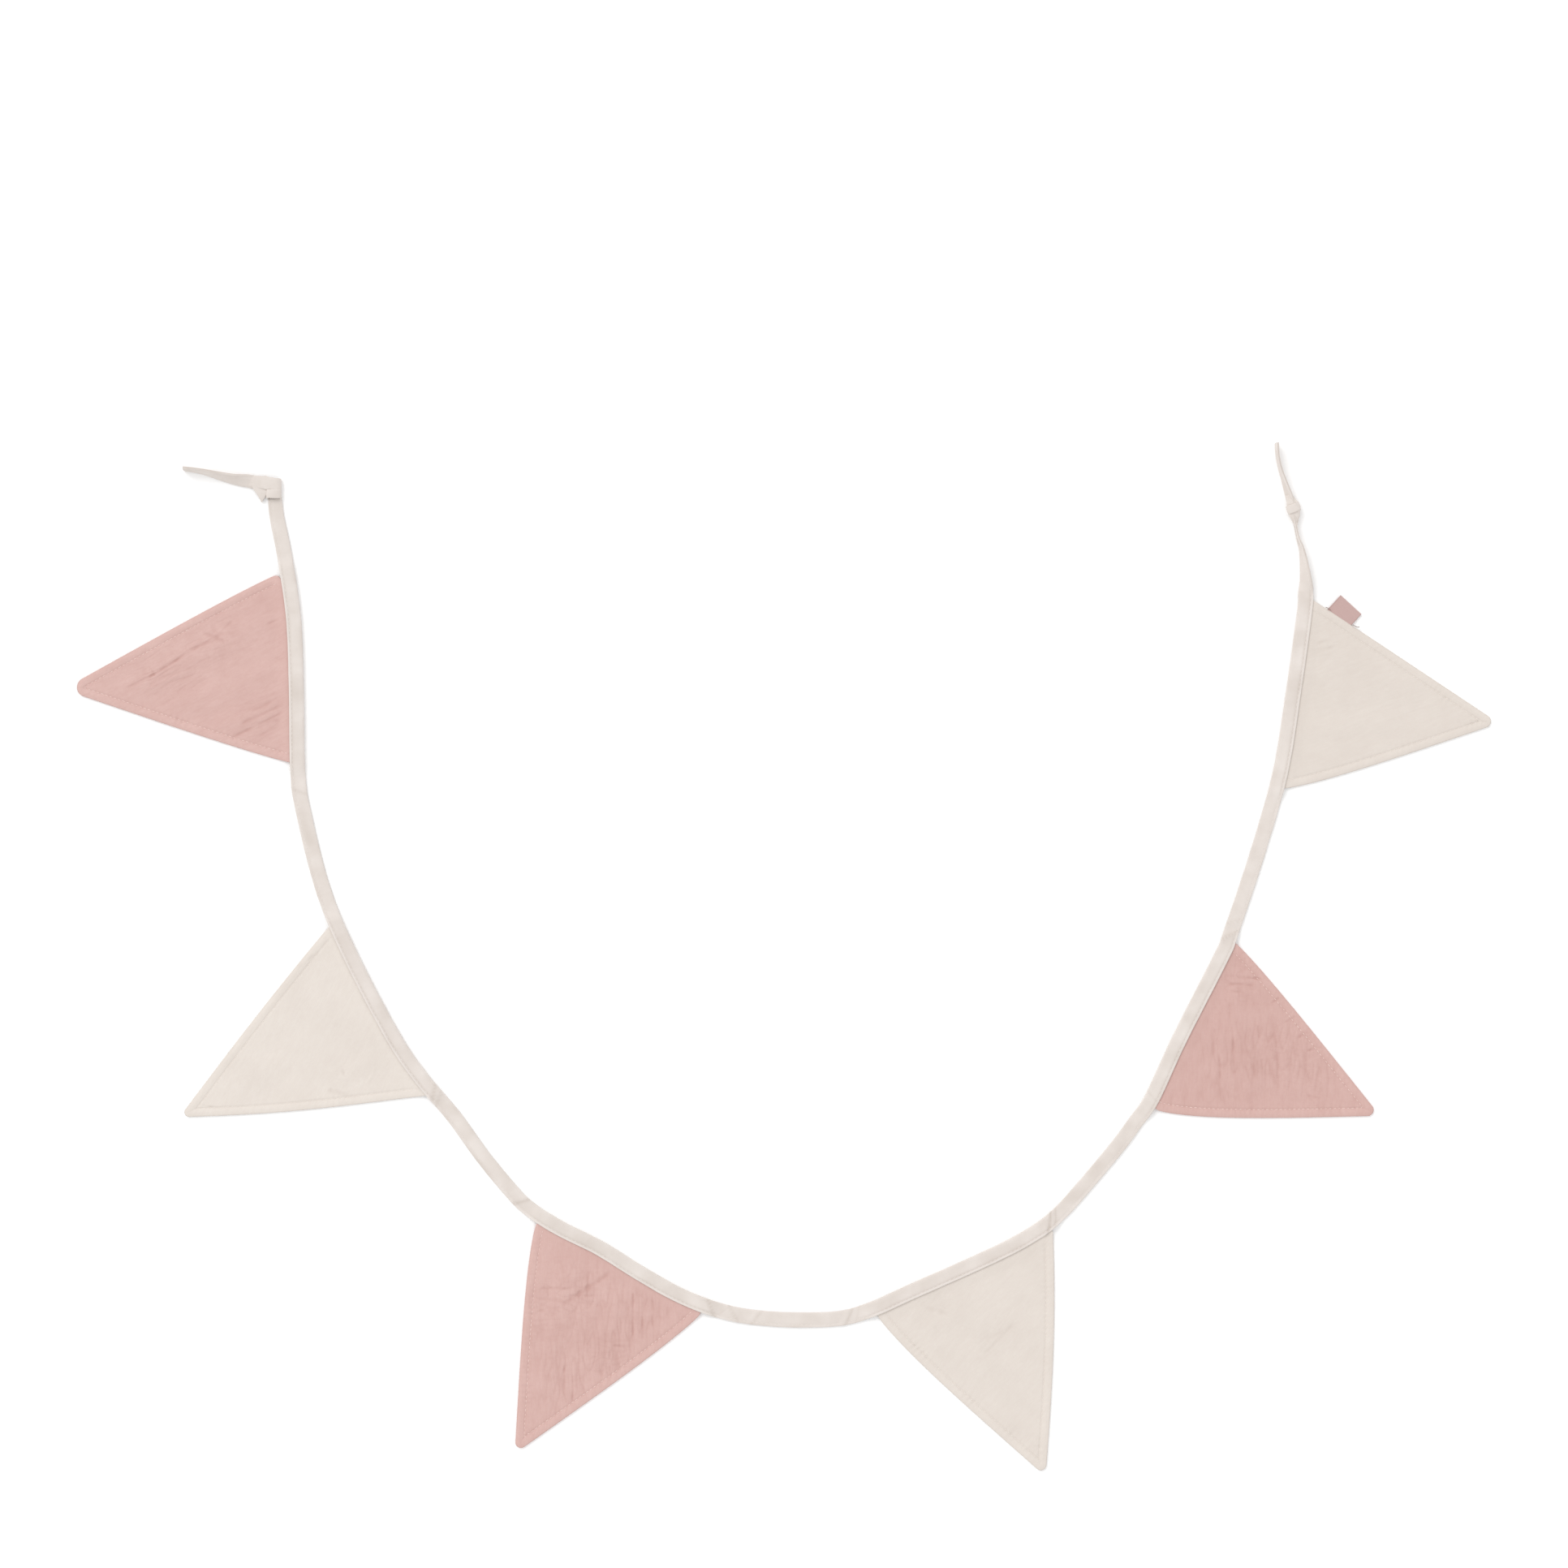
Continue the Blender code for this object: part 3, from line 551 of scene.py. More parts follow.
# Lines in each pennant: from x, y to x, y, half width and height, in mm
LINE_COLUMNS = ("x1", "y1", "x2", "y2", "spread", "height")
SOFT_FOLDS = {
    "flag_1": (
        (-462, 184, -366, 236, 13, 0.8), (-440, 168, -362, 200, 12, 0.5),
        (-400, 160, -358, 172, 10, 0.6),
    ),
    "flag_2": (
        (-392, -98, -330, -60, 14, 0.5), (-318, -88, -288, -72, 10, 0.4),
    ),
    "flag_3": (
        (-150, -214, -172, -318, 12, 0.7), (-118, -238, -128, -284, 10, 0.6),
    ),
    "flag_4": (
        (116, -246, 168, -316, 13, 0.7), (100, -262, 128, -250, 9, 0.4),
    ),
    "flag_5": (
        (312, -24, 330, -96, 12, 0.7), (340, -62, 362, -98, 10, 0.5),
    ),
    "flag_6": (
        (378, 222, 446, 186, 13, 0.6), (366, 160, 432, 166, 12, 0.5),
    ),
}
CREASES_IN_MUSLIN = {
    "flag_1": (
        (-461, 188, -441, 198, 1.6, -0.30), (-445, 196, -424, 209, 1.3, -0.44),
        (-427, 208, -398, 224, 2.6, -0.34), (-407, 227, -392, 220, 2.4, -0.34),
        (-399, 222, -388, 234, 2.0, -0.26), (-446, 204, -441, 197, 1.3, -0.28),
        (-449, 186, -425, 197, 1.8, 0.24), (-386, 154, -352, 171, 1.4, -0.40),
        (-381, 163, -354, 176, 1.3, -0.34), (-375, 151, -352, 163, 1.4, -0.30),
        (-373, 172, -358, 179, 1.3, -0.28), (-366, 231, -356, 236, 1.3, -0.30),
        (-378, 219, -369, 222, 1.3, -0.22),
    ),
    "flag_2": (
        (-311, -78, -306, -88, 1.4, -0.26), (-287, -79, -291, -88, 1.4, 0.24),
        (-320, -94, -300, -99, 3.0, -0.24), (-408, -105, -396, -106.5, 1.3, -0.28),
        (-341, -8.5, -327, 2.5, 1.4, -0.32),
    ),
    "flag_3": (
        (-121, -221, -138, -234, 2.2, -0.36), (-137, -232, -155, -245, 2.4, -0.34),
        (-143, -226, -143.5, -243, 1.3, -0.26), (-137, -223, -138, -240, 1.3, -0.26),
        (-151, -238, -133, -238.5, 1.3, -0.24), (-105.7, -237, -106, -267, 1.4, -0.42),
        (-114, -247, -114.5, -267, 1.3, -0.28), (-99, -233, -99, -270, 1.3, -0.26),
        (-92, -240, -92, -262, 1.3, -0.24), (-154, -288, -154.5, -309, 1.4, -0.32),
        (-148, -298, -148.5, -313, 1.3, -0.26), (-122, -277, -122, -292, 1.3, -0.30),
        (-117, -278, -117, -290, 1.3, -0.26), (-119, -273.5, -108, -274, 1.3, -0.30),
        (-170, -233, -150, -233.5, 1.4, -0.28), (-172, -241, -156, -241, 1.4, -0.28),
        (-174, -249, -162, -249, 1.4, -0.24),
    ),
    "flag_4": (
        (140, -280, 163, -257, 1.9, -0.22), (150, -262.5, 155, -257.5, 1.4, 0.30),
        (142, -269, 157, -262, 3.0, -0.12), (100, -247, 118, -252, 2.8, -0.22),
    ),
    "flag_5": (
        (308, -13.5, 335, -16, 1.4, -0.42), (312, -19.5, 331, -20.5, 1.3, -0.30),
        (314, -24.5, 323, -25.5, 1.3, -0.22), (313, -33, 313, -50, 1.3, -0.26),
        (302.5, -52, 301, -69, 1.3, -0.26), (305.5, -69, 307.5, -101, 1.5, -0.44),
        (315.5, -58, 316.5, -86, 1.4, -0.36), (330, -71, 330.5, -83, 1.4, -0.42),
        (335.5, -72, 336, -81, 1.3, -0.30), (333, -49, 333.5, -58, 1.3, -0.28),
        (346, -60, 347, -88, 1.3, -0.26), (343, -42, 345, -86, 7.0, -0.13),
        (342, -33, 348, -29, 1.3, -0.36), (352, -46.5, 359, -42, 1.4, -0.32),
        (361, -57.5, 368, -53, 1.4, -0.30), (368, -66.5, 378, -63.5, 1.4, -0.36),
        (368, -98, 377, -100, 1.3, -0.24),
    ),
    "flag_6": (
        (369, 212.5, 385, 217, 2.0, -0.3), (372, 219, 385, 222, 1.8, -0.26),
        (376, 215.5, 387, 219.5, 1.3, 0.24),
    ),
}

# Where the cloth is most crinkled: x, y, radius in mm, with the grain, across it
CRINKLED_COLUMNS = ("x", "y", "radius", "with_grain", "over_grain")
CRINKLED = {
    "flag_1": (
        (-430, 200, 24, 0.8, 0.2), (-396, 222, 18, 0.7, 0.4), (-364, 168, 20, 1.0, 0.1),
    ),
    "flag_2": (
        (-308, -84, 16, 0.5, 0.5), (-372, -84, 20, 0.3, 0.2),
    ),
    "flag_3": (
        (-104, -252, 26, 1.0, 0.2), (-140, -234, 18, 0.6, 0.8), (-150, -292, 28, 0.9, 0.3),
        (-120, -282, 16, 1.0, 0.5), (-168, -248, 20, 0.0, 0.9),
    ),
    "flag_4": (
        (150, -268, 18, 0.7, 0.2), (112, -250, 16, 0.3, 0.4),
    ),
    "flag_5": (
        (320, -17, 14, 0.1, 1.0), (316, -74, 28, 1.0, 0.1), (344, -66, 20, 0.9, 0.2),
        (372, -84, 20, 0.6, 0.4),
    ),
    "flag_6": (
        (378, 217, 13, 0.9, 0.2), (420, 190, 24, 0.3, 0.1),
    ),
}

# Cloth, a darker colour for painted shade in its creases and for random clouding, light on its raised
# threads, and how strongly the threads are raised
MUSLIN = {
    "pink": ("d1afa8", "b38981", "d6b6af", 0.16),
    "cream": ("dcd3cb", "c2b6ad", "dfd7cf", 0.07),
}


def table_rows(columns, rows, pennant):
    """A table's rows for one pennant, each a dictionary with the columns' names."""
    return [dict(zip(columns, row)) for row in rows[pennant["name"]]]


def bowed_side(corner, apex, bow, peak, inside):
    """A function that gives the point on a free side at a share of the way from the tape to the tip."""
    corner = np.array(corner, dtype=float)
    way = apex - corner
    normal = np.array([way[1], -way[0]]) / np.linalg.norm(way)
    if np.dot(normal, inside - corner) > 0.0:
        normal = -normal
    power = math.log(0.5) / math.log(peak)
    return lambda share: corner + way * share + normal * bow * math.sin(math.pi * share ** power)


def pennant_rows(pennant, first, last, edge_columns, count):
    """Rows of points across a pennant from inside the tape to the tip, and each row's way past the tape."""
    first, last, tip = np.array(first), np.array(last), np.array(pennant["tip"], dtype=float)
    base = (first + last) / 2.0
    height = np.linalg.norm(tip - base)
    half_angle = math.atan(np.linalg.norm(last - first) / 2.0 / height)
    radius = pennant["tip_radius"]
    length = height + radius * (1.0 / math.sin(half_angle) - 1.0)
    apex = base + (tip - base) / height * length
    first_side = bowed_side(first, apex, pennant["first_bow"], pennant["first_peak"], base)
    last_side = bowed_side(last, apex, pennant["last_bow"], pennant["last_peak"], base)
    start, end = route.nearest(first), route.nearest(last)
    edge = TAPE_WIDTH / 2.0
    first_slip = first - route.offset(start, edge)
    last_slip = last - route.offset(end, edge)
    rounding, taken_off = ROUNDED_CORNER.get(pennant["name"], (1.0, 0.0))
    held = start + taken_off

    def parts_of(width):
        scale = min(1.0, 0.62 * width / 2.0 / edge_columns[-1])
        near = [distance * scale for distance in edge_columns]
        middle = np.linspace(near[-1], width - near[-1], count - 2 * len(near) + 2)[1:-1]
        return np.array(near + list(middle) + [width - distance for distance in reversed(near)]) / width

    rows = []
    past_tape = []
    for past in np.linspace(-PENNANT_HELD, 0.0, ROWS_IN_TAPE + 1)[:-1]:
        rows.append([route.offset(held + (end - held) * part, edge + past)
                     + first_slip * (1.0 - part) + last_slip * part for part in parts_of(end - held)])
        past_tape.append(past)
    tangent = 1.0 - radius * math.cos(half_angle) ** 2 / math.sin(half_angle) / length
    shares = [(share, 1.0) for share in np.linspace(0.0, tangent, ROWS_ALONG)]
    for turn in np.linspace(math.pi / 2.0 - half_angle, 0.12, ROWS_ROUND_TIP)[1:]:
        from_apex = radius * (1.0 / math.sin(half_angle) - math.cos(turn))
        narrowing = radius * math.sin(turn) / (from_apex * math.tan(half_angle))
        shares.append((1.0 - from_apex / length, narrowing))
    for share, narrowing in shares:
        left, right = first_side(share), last_side(share)
        middle = (left + right) / 2.0
        left = middle + (left - middle) * narrowing
        right = middle + (right - middle) * narrowing
        before = max(0.0, 1.0 - share * length / rounding)
        cut_back = taken_off * (1.0 - math.sqrt(1.0 - before ** 2))
        left = left + (right - left) / np.linalg.norm(right - left) * cut_back
        row = []
        for part in parts_of(np.linalg.norm(right - left)):
            curved = route.offset(start + (end - start) * part, edge)
            curved = curved + first_slip * (1.0 - part) + last_slip * part
            straight = first + (last - first) * part
            row.append(left + (right - left) * part + (curved - straight) * (1.0 - share) ** 3)
        rows.append(row)
        past_tape.append(share * length)
    return np.array(rows), np.array(past_tape)[:, None] * np.ones(count)


def raised_lines(points, lines):
    """Height that some lines give to points, from each line's height, half width and ends."""
    total = np.zeros(points.shape[:-1])
    for line in lines:
        start = np.array((line["x1"], line["y1"]), dtype=float)
        way = np.array((line["x2"], line["y2"]), dtype=float) - start
        share = (points - start) @ way / (way @ way)
        ends = smooth_step((0.5 - np.abs(share - 0.5)) / 0.25 + 0.5)
        gap = np.linalg.norm(start + np.clip(share, 0.0, 1.0)[..., None] * way - points, axis=-1)
        total += line["height"] * ends * (1.0 - np.minimum(gap / line["spread"], 1.0) ** 2) ** 2
    return total


def cloth_noise(points, grain, along, across, seed):
    """Smooth noise from -1 to 1 over the cloth, with features of these lengths along and across a way."""
    turn = math.radians(grain)
    u = (points[..., 0] * math.cos(turn) + points[..., 1] * math.sin(turn)) / along
    v = (points[..., 1] * math.cos(turn) - points[..., 0] * math.sin(turn)) / across
    values = [noise.noise(Vector((a, b, seed))) for a, b in zip(u.ravel(), v.ravel())]
    return np.array(values).reshape(u.shape)


def crinkle(pennant, points, seed):
    """Height of the muslin's fine crinkle: narrow lines with the grain and across it, and soft puffs."""
    grain = pennant["grain"]
    stray = 0.3 * cloth_noise(points, grain, 30.0, 30.0, seed)
    with_grain = 0.16 + stray
    over_grain = 0.1 - stray
    for patch in table_rows(CRINKLED_COLUMNS, CRINKLED, pennant):
        away = np.linalg.norm(points - np.array((patch["x"], patch["y"])), axis=-1) / patch["radius"]
        with_grain += patch["with_grain"] * np.exp(-away ** 2)
        over_grain += patch["over_grain"] * np.exp(-away ** 2)
    lines = 1.0 - np.minimum(np.abs(cloth_noise(points, grain, 22.0, 4.8, seed + 10.0)) / 0.17, 1.0)
    finer = 1.0 - np.minimum(np.abs(cloth_noise(points, grain, 14.0, 2.6, seed + 15.0)) / 0.24, 1.0)
    crossing = 1.0 - np.minimum(np.abs(cloth_noise(points, grain + 90.0, 10.0, 4.0, seed + 20.0)) / 0.2, 1.0)
    puffs = cloth_noise(points, grain, 12.0, 6.0, seed + 30.0)
    height = -(0.2 * lines + 0.1 * finer) * np.clip(with_grain, 0.0, 1.2)
    height -= 0.2 * crossing * np.clip(over_grain, 0.0, 1.2)
    return (height + 0.15 * puffs) * pennant["crinkle"]


def seam_distances(points, past, outline):
    """How far points lie inside the pennant's free sides, and how far along them."""
    marks = np.linspace(0.0, distances_along(outline)[-1], OUTLINE_MARKS)
    line = points_at(outline, marks)
    flat = points.reshape(-1, 2)
    inside = np.zeros(len(flat))
    along = np.zeros(len(flat))
    for i in range(0, len(flat), POINTS_AT_ONCE):
        part = slice(i, i + POINTS_AT_ONCE)
        gaps = np.linalg.norm(flat[part, None, :] - line[None, :, :], axis=-1)
        inside[part] = gaps.min(axis=1)
        along[part] = marks[gaps.argmin(axis=1)]
    inside = inside.reshape(past.shape)
    held = np.minimum(np.linalg.norm(points - points[:, :1], axis=-1),
                      np.linalg.norm(points - points[:, -1:], axis=-1))
    return np.where(past < 0.0, held, inside), along.reshape(past.shape)


def cloth_heights(pennant, points, past, outline, seed):
    """Heights of the pennant's upper face and underside over some points, and how dark each point is, mostly
    painted shade.
    """
    inside, along = seam_distances(points, past, outline)
    free = smooth_step((past - 0.5) / PENNANT_DROP)
    away = smooth_step(inside / 4.0)
    fold = raised_lines(points, table_rows(LINE_COLUMNS, SOFT_FOLDS, pennant)) * free
    broken = np.clip(0.75 + 1.3 * cloth_noise(points, pennant["grain"], 7.0, 4.0, seed + 40.0), 0.15, 1.3)
    crease = raised_lines(points, table_rows(LINE_COLUMNS, CREASES_IN_MUSLIN, pennant)) * free * away * broken
    fine = crinkle(pennant, points, seed) * (0.25 + 0.75 * free) * away
    slack = cloth_noise(points, pennant["grain"] + 9.0, 18.0, 9.0, seed + 50.0) * 0.3 * pennant["crinkle"]

    ridge = SEAM_RIDGE * np.exp(-((inside - SEAM_RIDGE_IN) / SEAM_RIDGE_SPREAD) ** 2)
    dip = TOPSTITCH_DIP * np.exp(-((inside - TOPSTITCH_IN) / TOPSTITCH_DIP_SPREAD) ** 2)
    drawn = cloth_noise(np.stack([along, inside], -1), 0.0, 26.0, 60.0, seed + 70.0)
    wander = cloth_noise(np.stack([along, inside], -1), 0.0, 9.0, 12.0, seed + 80.0)
    pull = np.cos(2.0 * math.pi * along / PUCKER_PITCH + 3.0 * wander)
    pull = pull * np.exp(-((inside - TOPSTITCH_IN + 0.4) / PUCKER_SPREAD) ** 2)
    pull = pull * np.clip(0.35 + 1.6 * drawn, 0.1, 1.2)
    rounding = np.sqrt(np.clip(1.0 - (1.0 - np.minimum(inside / EDGE_ROUND, 1.0)) ** 2, 0.0, 1.0))
    swell = PENNANT_THICK - PENNANT_THICK_IN_TAPE + ridge - dip + PUCKER * pull
    thick = PENNANT_THICK_IN_TAPE + free * swell
    half = (thick / 2.0) * (0.16 + 0.84 * rounding)
    middle = (TAPE_LEAF + PENNANT_OFF_LEAF) * (1.0 - free) + thick / 2.0
    top = middle + half + fold + crease + fine
    lifted = np.maximum(fold - FOLD_SLACK, 0.0) + np.maximum(slack, 0.0) * free * away
    under = np.maximum(np.minimum(middle - half + lifted, top - 0.2), 0.0)
    # depth is painted shade: darker in the valleys of creases and crinkle and in the topstitch groove
    depth = -1.5 * (np.minimum(fine, 0.0) + np.minimum(crease, 0.0)) + 0.3 * dip
    inner = BAND_LIGHTER * pennant["crinkle"] * smooth_step((inside - TOPSTITCH_IN + 0.8) / 1.6)
    # rim is painted shade along the pennant's outer edge, where the rounded edge turns away
    rim = RIM_PAINTED_SHADE * np.exp(-(inside / RIM_SPREAD) ** 2) * free
    # tone is painted shade, more on the pennants further right, as if the light fell off from the left
    depth = np.clip(depth + pennant["tone"] + inner + rim, 0.0, 1.4)
    return top, under, depth


def shell_faces(rows, fine, plain):
    """Faces of a fine upper grid and a plainer underside grid of as many rows, and of their rims."""
    def top(i, j):
        return i * fine + j

    def under(i, j):
        return rows * fine + i * plain + j

    faces = []
    for i in range(rows - 1):
        faces += [(top(i, j), top(i, j + 1), top(i + 1, j + 1), top(i + 1, j)) for j in range(fine - 1)]
        faces += [(under(i, j), under(i + 1, j), under(i + 1, j + 1), under(i, j + 1))
                  for j in range(plain - 1)]
        faces.append((top(i, 0), top(i + 1, 0), under(i + 1, 0), under(i, 0)))
        faces.append((top(i, fine - 1), under(i, plain - 1), under(i + 1, plain - 1), top(i + 1, fine - 1)))
    for i in (0, rows - 1):
        faces.append(tuple([top(i, j) for j in range(fine)] + [under(i, j) for j in reversed(range(plain))]))
    return faces


def crinkled_muslin(cloth):
    """Double gauze of soft-spun cotton: very matt, with uneven threads both ways and a soft fuzz.

    The threads of its open weave, about 0.6 mm apart, are drawn 0.9 mm apart so that they show, and
    uneven in thickness, as hand-loomed muslin is.
    """
    base, shade, light, relief = MUSLIN[cloth]
    material, tree, shader = new_material(cloth + " double cotton muslin")
    grain = add_node(tree, "ShaderNodeUVMap", uv_map="cloth")
    threads = []
    for stretch in ((300.0, 950.0, 1.0), (950.0, 300.0, 1.0), (110.0, 420.0, 1.0)):
        drawn_out = add_node(tree, "ShaderNodeMapping", {"Vector": grain.outputs["UV"], "Scale": stretch})
        threads.append(add_node(tree, "ShaderNodeTexNoise", {
            "Vector": drawn_out, "Scale": 1.0, "Detail": 1.5, "Roughness": 0.5}))
    warp, weft, slubs = [thread.outputs["Fac"] for thread in threads]
    weave = add_node(tree, "ShaderNodeMath", {0: weft, 1: 0.5, 2: warp}, operation="MULTIPLY_ADD")
    uneven = add_node(tree, "ShaderNodeMath", {0: weave, 1: slubs}, operation="ADD")
    tone = add_node(tree, "ShaderNodeMapRange", {
        "Value": uneven, "From Min": 0.95, "From Max": 1.55})
    clouds = add_node(tree, "ShaderNodeTexNoise", {
        "Vector": grain.outputs["UV"], "Scale": 32.0, "Detail": 3.0, "Roughness": 0.5})
    cloud_tone = add_node(tree, "ShaderNodeMapRange", {
        "Value": clouds.outputs["Fac"], "From Min": 0.4, "From Max": 0.75, "To Min": 0.0, "To Max": 0.16})
    # The crease attribute darkens the muslin toward its shade colour: painted shade in crease and crinkle
    # valleys, the topstitch groove and along the rim, and on pennants further right; it is also darker inside
    # the topstitching than on the band outside it
    creased = add_node(tree, "ShaderNodeAttribute", attribute_name="crease")
    crease_tone = add_node(tree, "ShaderNodeMapRange", {
        "Value": creased.outputs["Fac"], "From Min": 0.0, "From Max": 1.2, "To Min": 0.0, "To Max": 0.6})
    threaded = add_node(tree, "ShaderNodeMix", {
        0: tone, 6: linear(base), 7: linear(light)}, data_type="RGBA")
    clouded = add_node(tree, "ShaderNodeMix", {
        0: cloud_tone, 6: threaded.outputs[2], 7: linear(shade)}, data_type="RGBA")
    shaded = add_node(tree, "ShaderNodeMix", {
        0: crease_tone, 6: clouded.outputs[2], 7: linear(shade)}, data_type="RGBA")
    bump = add_node(tree, "ShaderNodeBump", {
        "Height": uneven, "Strength": relief, "Distance": 0.00012})
    set_inputs(tree, shader, {
        "Base Color": shaded.outputs[2], "Normal": bump, "Roughness": 0.95,
        "Specular IOR Level": 0.2, "Sheen Weight": 0.15, "Sheen Roughness": 0.45})
    return material


muslin = {cloth: crinkled_muslin(cloth) for cloth in MUSLIN}
pennants = []
for number, (row, (first, last)) in enumerate(zip(PENNANTS, PENNANT_CORNERS)):
    pennant = dict(zip(PENNANT_COLUMNS, row))
    seed = 3.0 + 7.0 * number
    points, past = pennant_rows(pennant, first, last, FINE_EDGE, FINE_COLUMNS)
    below, past_below = pennant_rows(pennant, first, last, PLAIN_EDGE, PLAIN_COLUMNS)
    outline = np.vstack([points[ROWS_IN_TAPE:, 0], points[:ROWS_IN_TAPE - 1:-1, -1]])
    top, hidden, depth = cloth_heights(pennant, points, past, outline, seed)
    cover, under, under_painted_shade = cloth_heights(pennant, below, past_below, outline, seed)
    vertices = [place(x, y, z) for (x, y), z in zip(points.reshape(-1, 2), top.ravel())]
    vertices += [place(x, y, z) for (x, y), z in zip(below.reshape(-1, 2), under.ravel())]
    turn = math.radians(pennant["grain"])
    grain_uv = [(x * math.cos(turn) + y * math.sin(turn), y * math.cos(turn) - x * math.sin(turn))
                for x, y, z in vertices]
    faces = shell_faces(len(points), FINE_COLUMNS, PLAIN_COLUMNS)
    # The crease attribute: painted shade on the upper face, and a weaker share of it on the underside
    creases = np.concatenate([depth.ravel(), SHADE_BELOW * under_painted_shade.ravel()])
    piece = new_piece(pennant["name"] + "_cloth", vertices, faces, grain_uv, creases)
    piece.data.materials.append(muslin[pennant["cloth"]])
    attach(piece, "root")
    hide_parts(pennant["name"])
    pennants.append((pennant, piece, outline, points))


# STITCHING
# Fine sewing thread in the cloths' own colours: a row of topstitches 5.8 mm inside the pennants' two free
# sides, and one along the tape 2 mm inside its open edge. It shows on both faces.

THREAD_RADIUS = {"pink": 0.27, "cream": 0.23, "tape": 0.23}
STITCH_LENGTH = 1.7
STITCH_SINK = 0.3
STITCH_RAISED = 0.07
STITCH_RAISED_BELOW = 0.3
STITCH_LINE_STEP = 1.5
STITCH_INPUTS = {"Line": "Geometry", "Pitch": "Float", "Stitch length": "Float", "Thread radius": "Float",
                 "Sink of the ends": "Float", "Thread": "Material"}
THREADS = {"pink": "e4cac2", "cream": "e4dcd4", "tape": "e0d8d2"}


def stitch_tree():
    """Nodes that lay one short stitch after another along a line of points."""
    tree = bpy.data.node_groups.new("row of stitches", "GeometryNodeTree")
    for name, kind in STITCH_INPUTS.items():
        tree.interface.new_socket(name, in_out="INPUT", socket_type="NodeSocket" + kind)
    tree.interface.new_socket("Stitches", in_out="OUTPUT", socket_type="NodeSocketGeometry")
    given = add_node(tree, "NodeGroupInput")
    half = add_node(tree, "ShaderNodeMath", {
        0: given.outputs["Stitch length"], 1: 0.5}, operation="MULTIPLY")
    back = add_node(tree, "ShaderNodeMath", {0: half, 1: -1.0}, operation="MULTIPLY")
    start = add_node(tree, "ShaderNodeCombineXYZ", {"X": back})
    end = add_node(tree, "ShaderNodeCombineXYZ", {"X": half})
    line = add_node(tree, "GeometryNodeCurvePrimitiveLine", {
        "Start": start, "End": end})
    bent = add_node(tree, "GeometryNodeResampleCurve", {"Curve": line, "Count": 5})
    position = add_node(tree, "GeometryNodeInputPosition")
    parts = add_node(tree, "ShaderNodeSeparateXYZ", {0: position})
    share = add_node(tree, "ShaderNodeMath", {
        0: parts.outputs["X"], 1: half}, operation="DIVIDE")
    square = add_node(tree, "ShaderNodeMath", {
        0: share, 1: share}, operation="MULTIPLY")
    sunk = add_node(tree, "ShaderNodeMath", {
        0: square, 1: given.outputs["Sink of the ends"]}, operation="MULTIPLY")
    down = add_node(tree, "ShaderNodeMath", {0: sunk, 1: -1.0}, operation="MULTIPLY")
    offset = add_node(tree, "ShaderNodeCombineXYZ", {"Z": down})
    arched = add_node(tree, "GeometryNodeSetPosition", {
        "Geometry": bent, "Offset": offset})
    round_thread = add_node(tree, "GeometryNodeCurvePrimitiveCircle", {
        "Resolution": 6, "Radius": given.outputs["Thread radius"]})
    stitch = add_node(tree, "GeometryNodeCurveToMesh", {
        "Curve": arched, "Profile Curve": round_thread, "Fill Caps": True})
    path = add_node(tree, "GeometryNodeMeshToCurve", {"Mesh": given.outputs["Line"]})
    places = add_node(tree, "GeometryNodeResampleCurve", {
        "Curve": path, "Length": given.outputs["Pitch"]}, mode="LENGTH")
    tangent = add_node(tree, "GeometryNodeInputTangent")
    facing = add_node(tree, "FunctionNodeAlignRotationToVector", {"Vector": tangent}, axis="X")
    size = add_node(tree, "FunctionNodeRandomValue", {2: 0.8, 3: 1.1, "Seed": 4}, data_type="FLOAT")
    laid = add_node(tree, "GeometryNodeInstanceOnPoints", {
        "Points": places, "Instance": stitch, "Rotation": facing,
        "Scale": size.outputs[1]})
    real = add_node(tree, "GeometryNodeRealizeInstances", {"Geometry": laid})
    thread = add_node(tree, "GeometryNodeSetMaterial", {
        "Geometry": real, "Material": given.outputs["Thread"]})
    add_node(tree, "NodeGroupOutput", {"Stitches": thread})
    return tree


def sewing_thread(name, code):
    """Spun polyester sewing thread: fine, slightly brighter and smoother than the cloth it lies in."""
    material, tree, shader = new_material(name + " sewing thread")
    spot = add_node(tree, "ShaderNodeTexCoord")
    twist = add_node(tree, "ShaderNodeTexNoise", {
        "Vector": spot.outputs["Object"], "Scale": 1500.0, "Detail": 2.0})
    bump = add_node(tree, "ShaderNodeBump", {
        "Height": twist.outputs["Fac"], "Strength": 0.3, "Distance": 0.00005})
    set_inputs(tree, shader, {
        "Normal": bump, "Base Color": linear(code), "Roughness": 0.7, "Sheen Weight": 0.1})
    return material


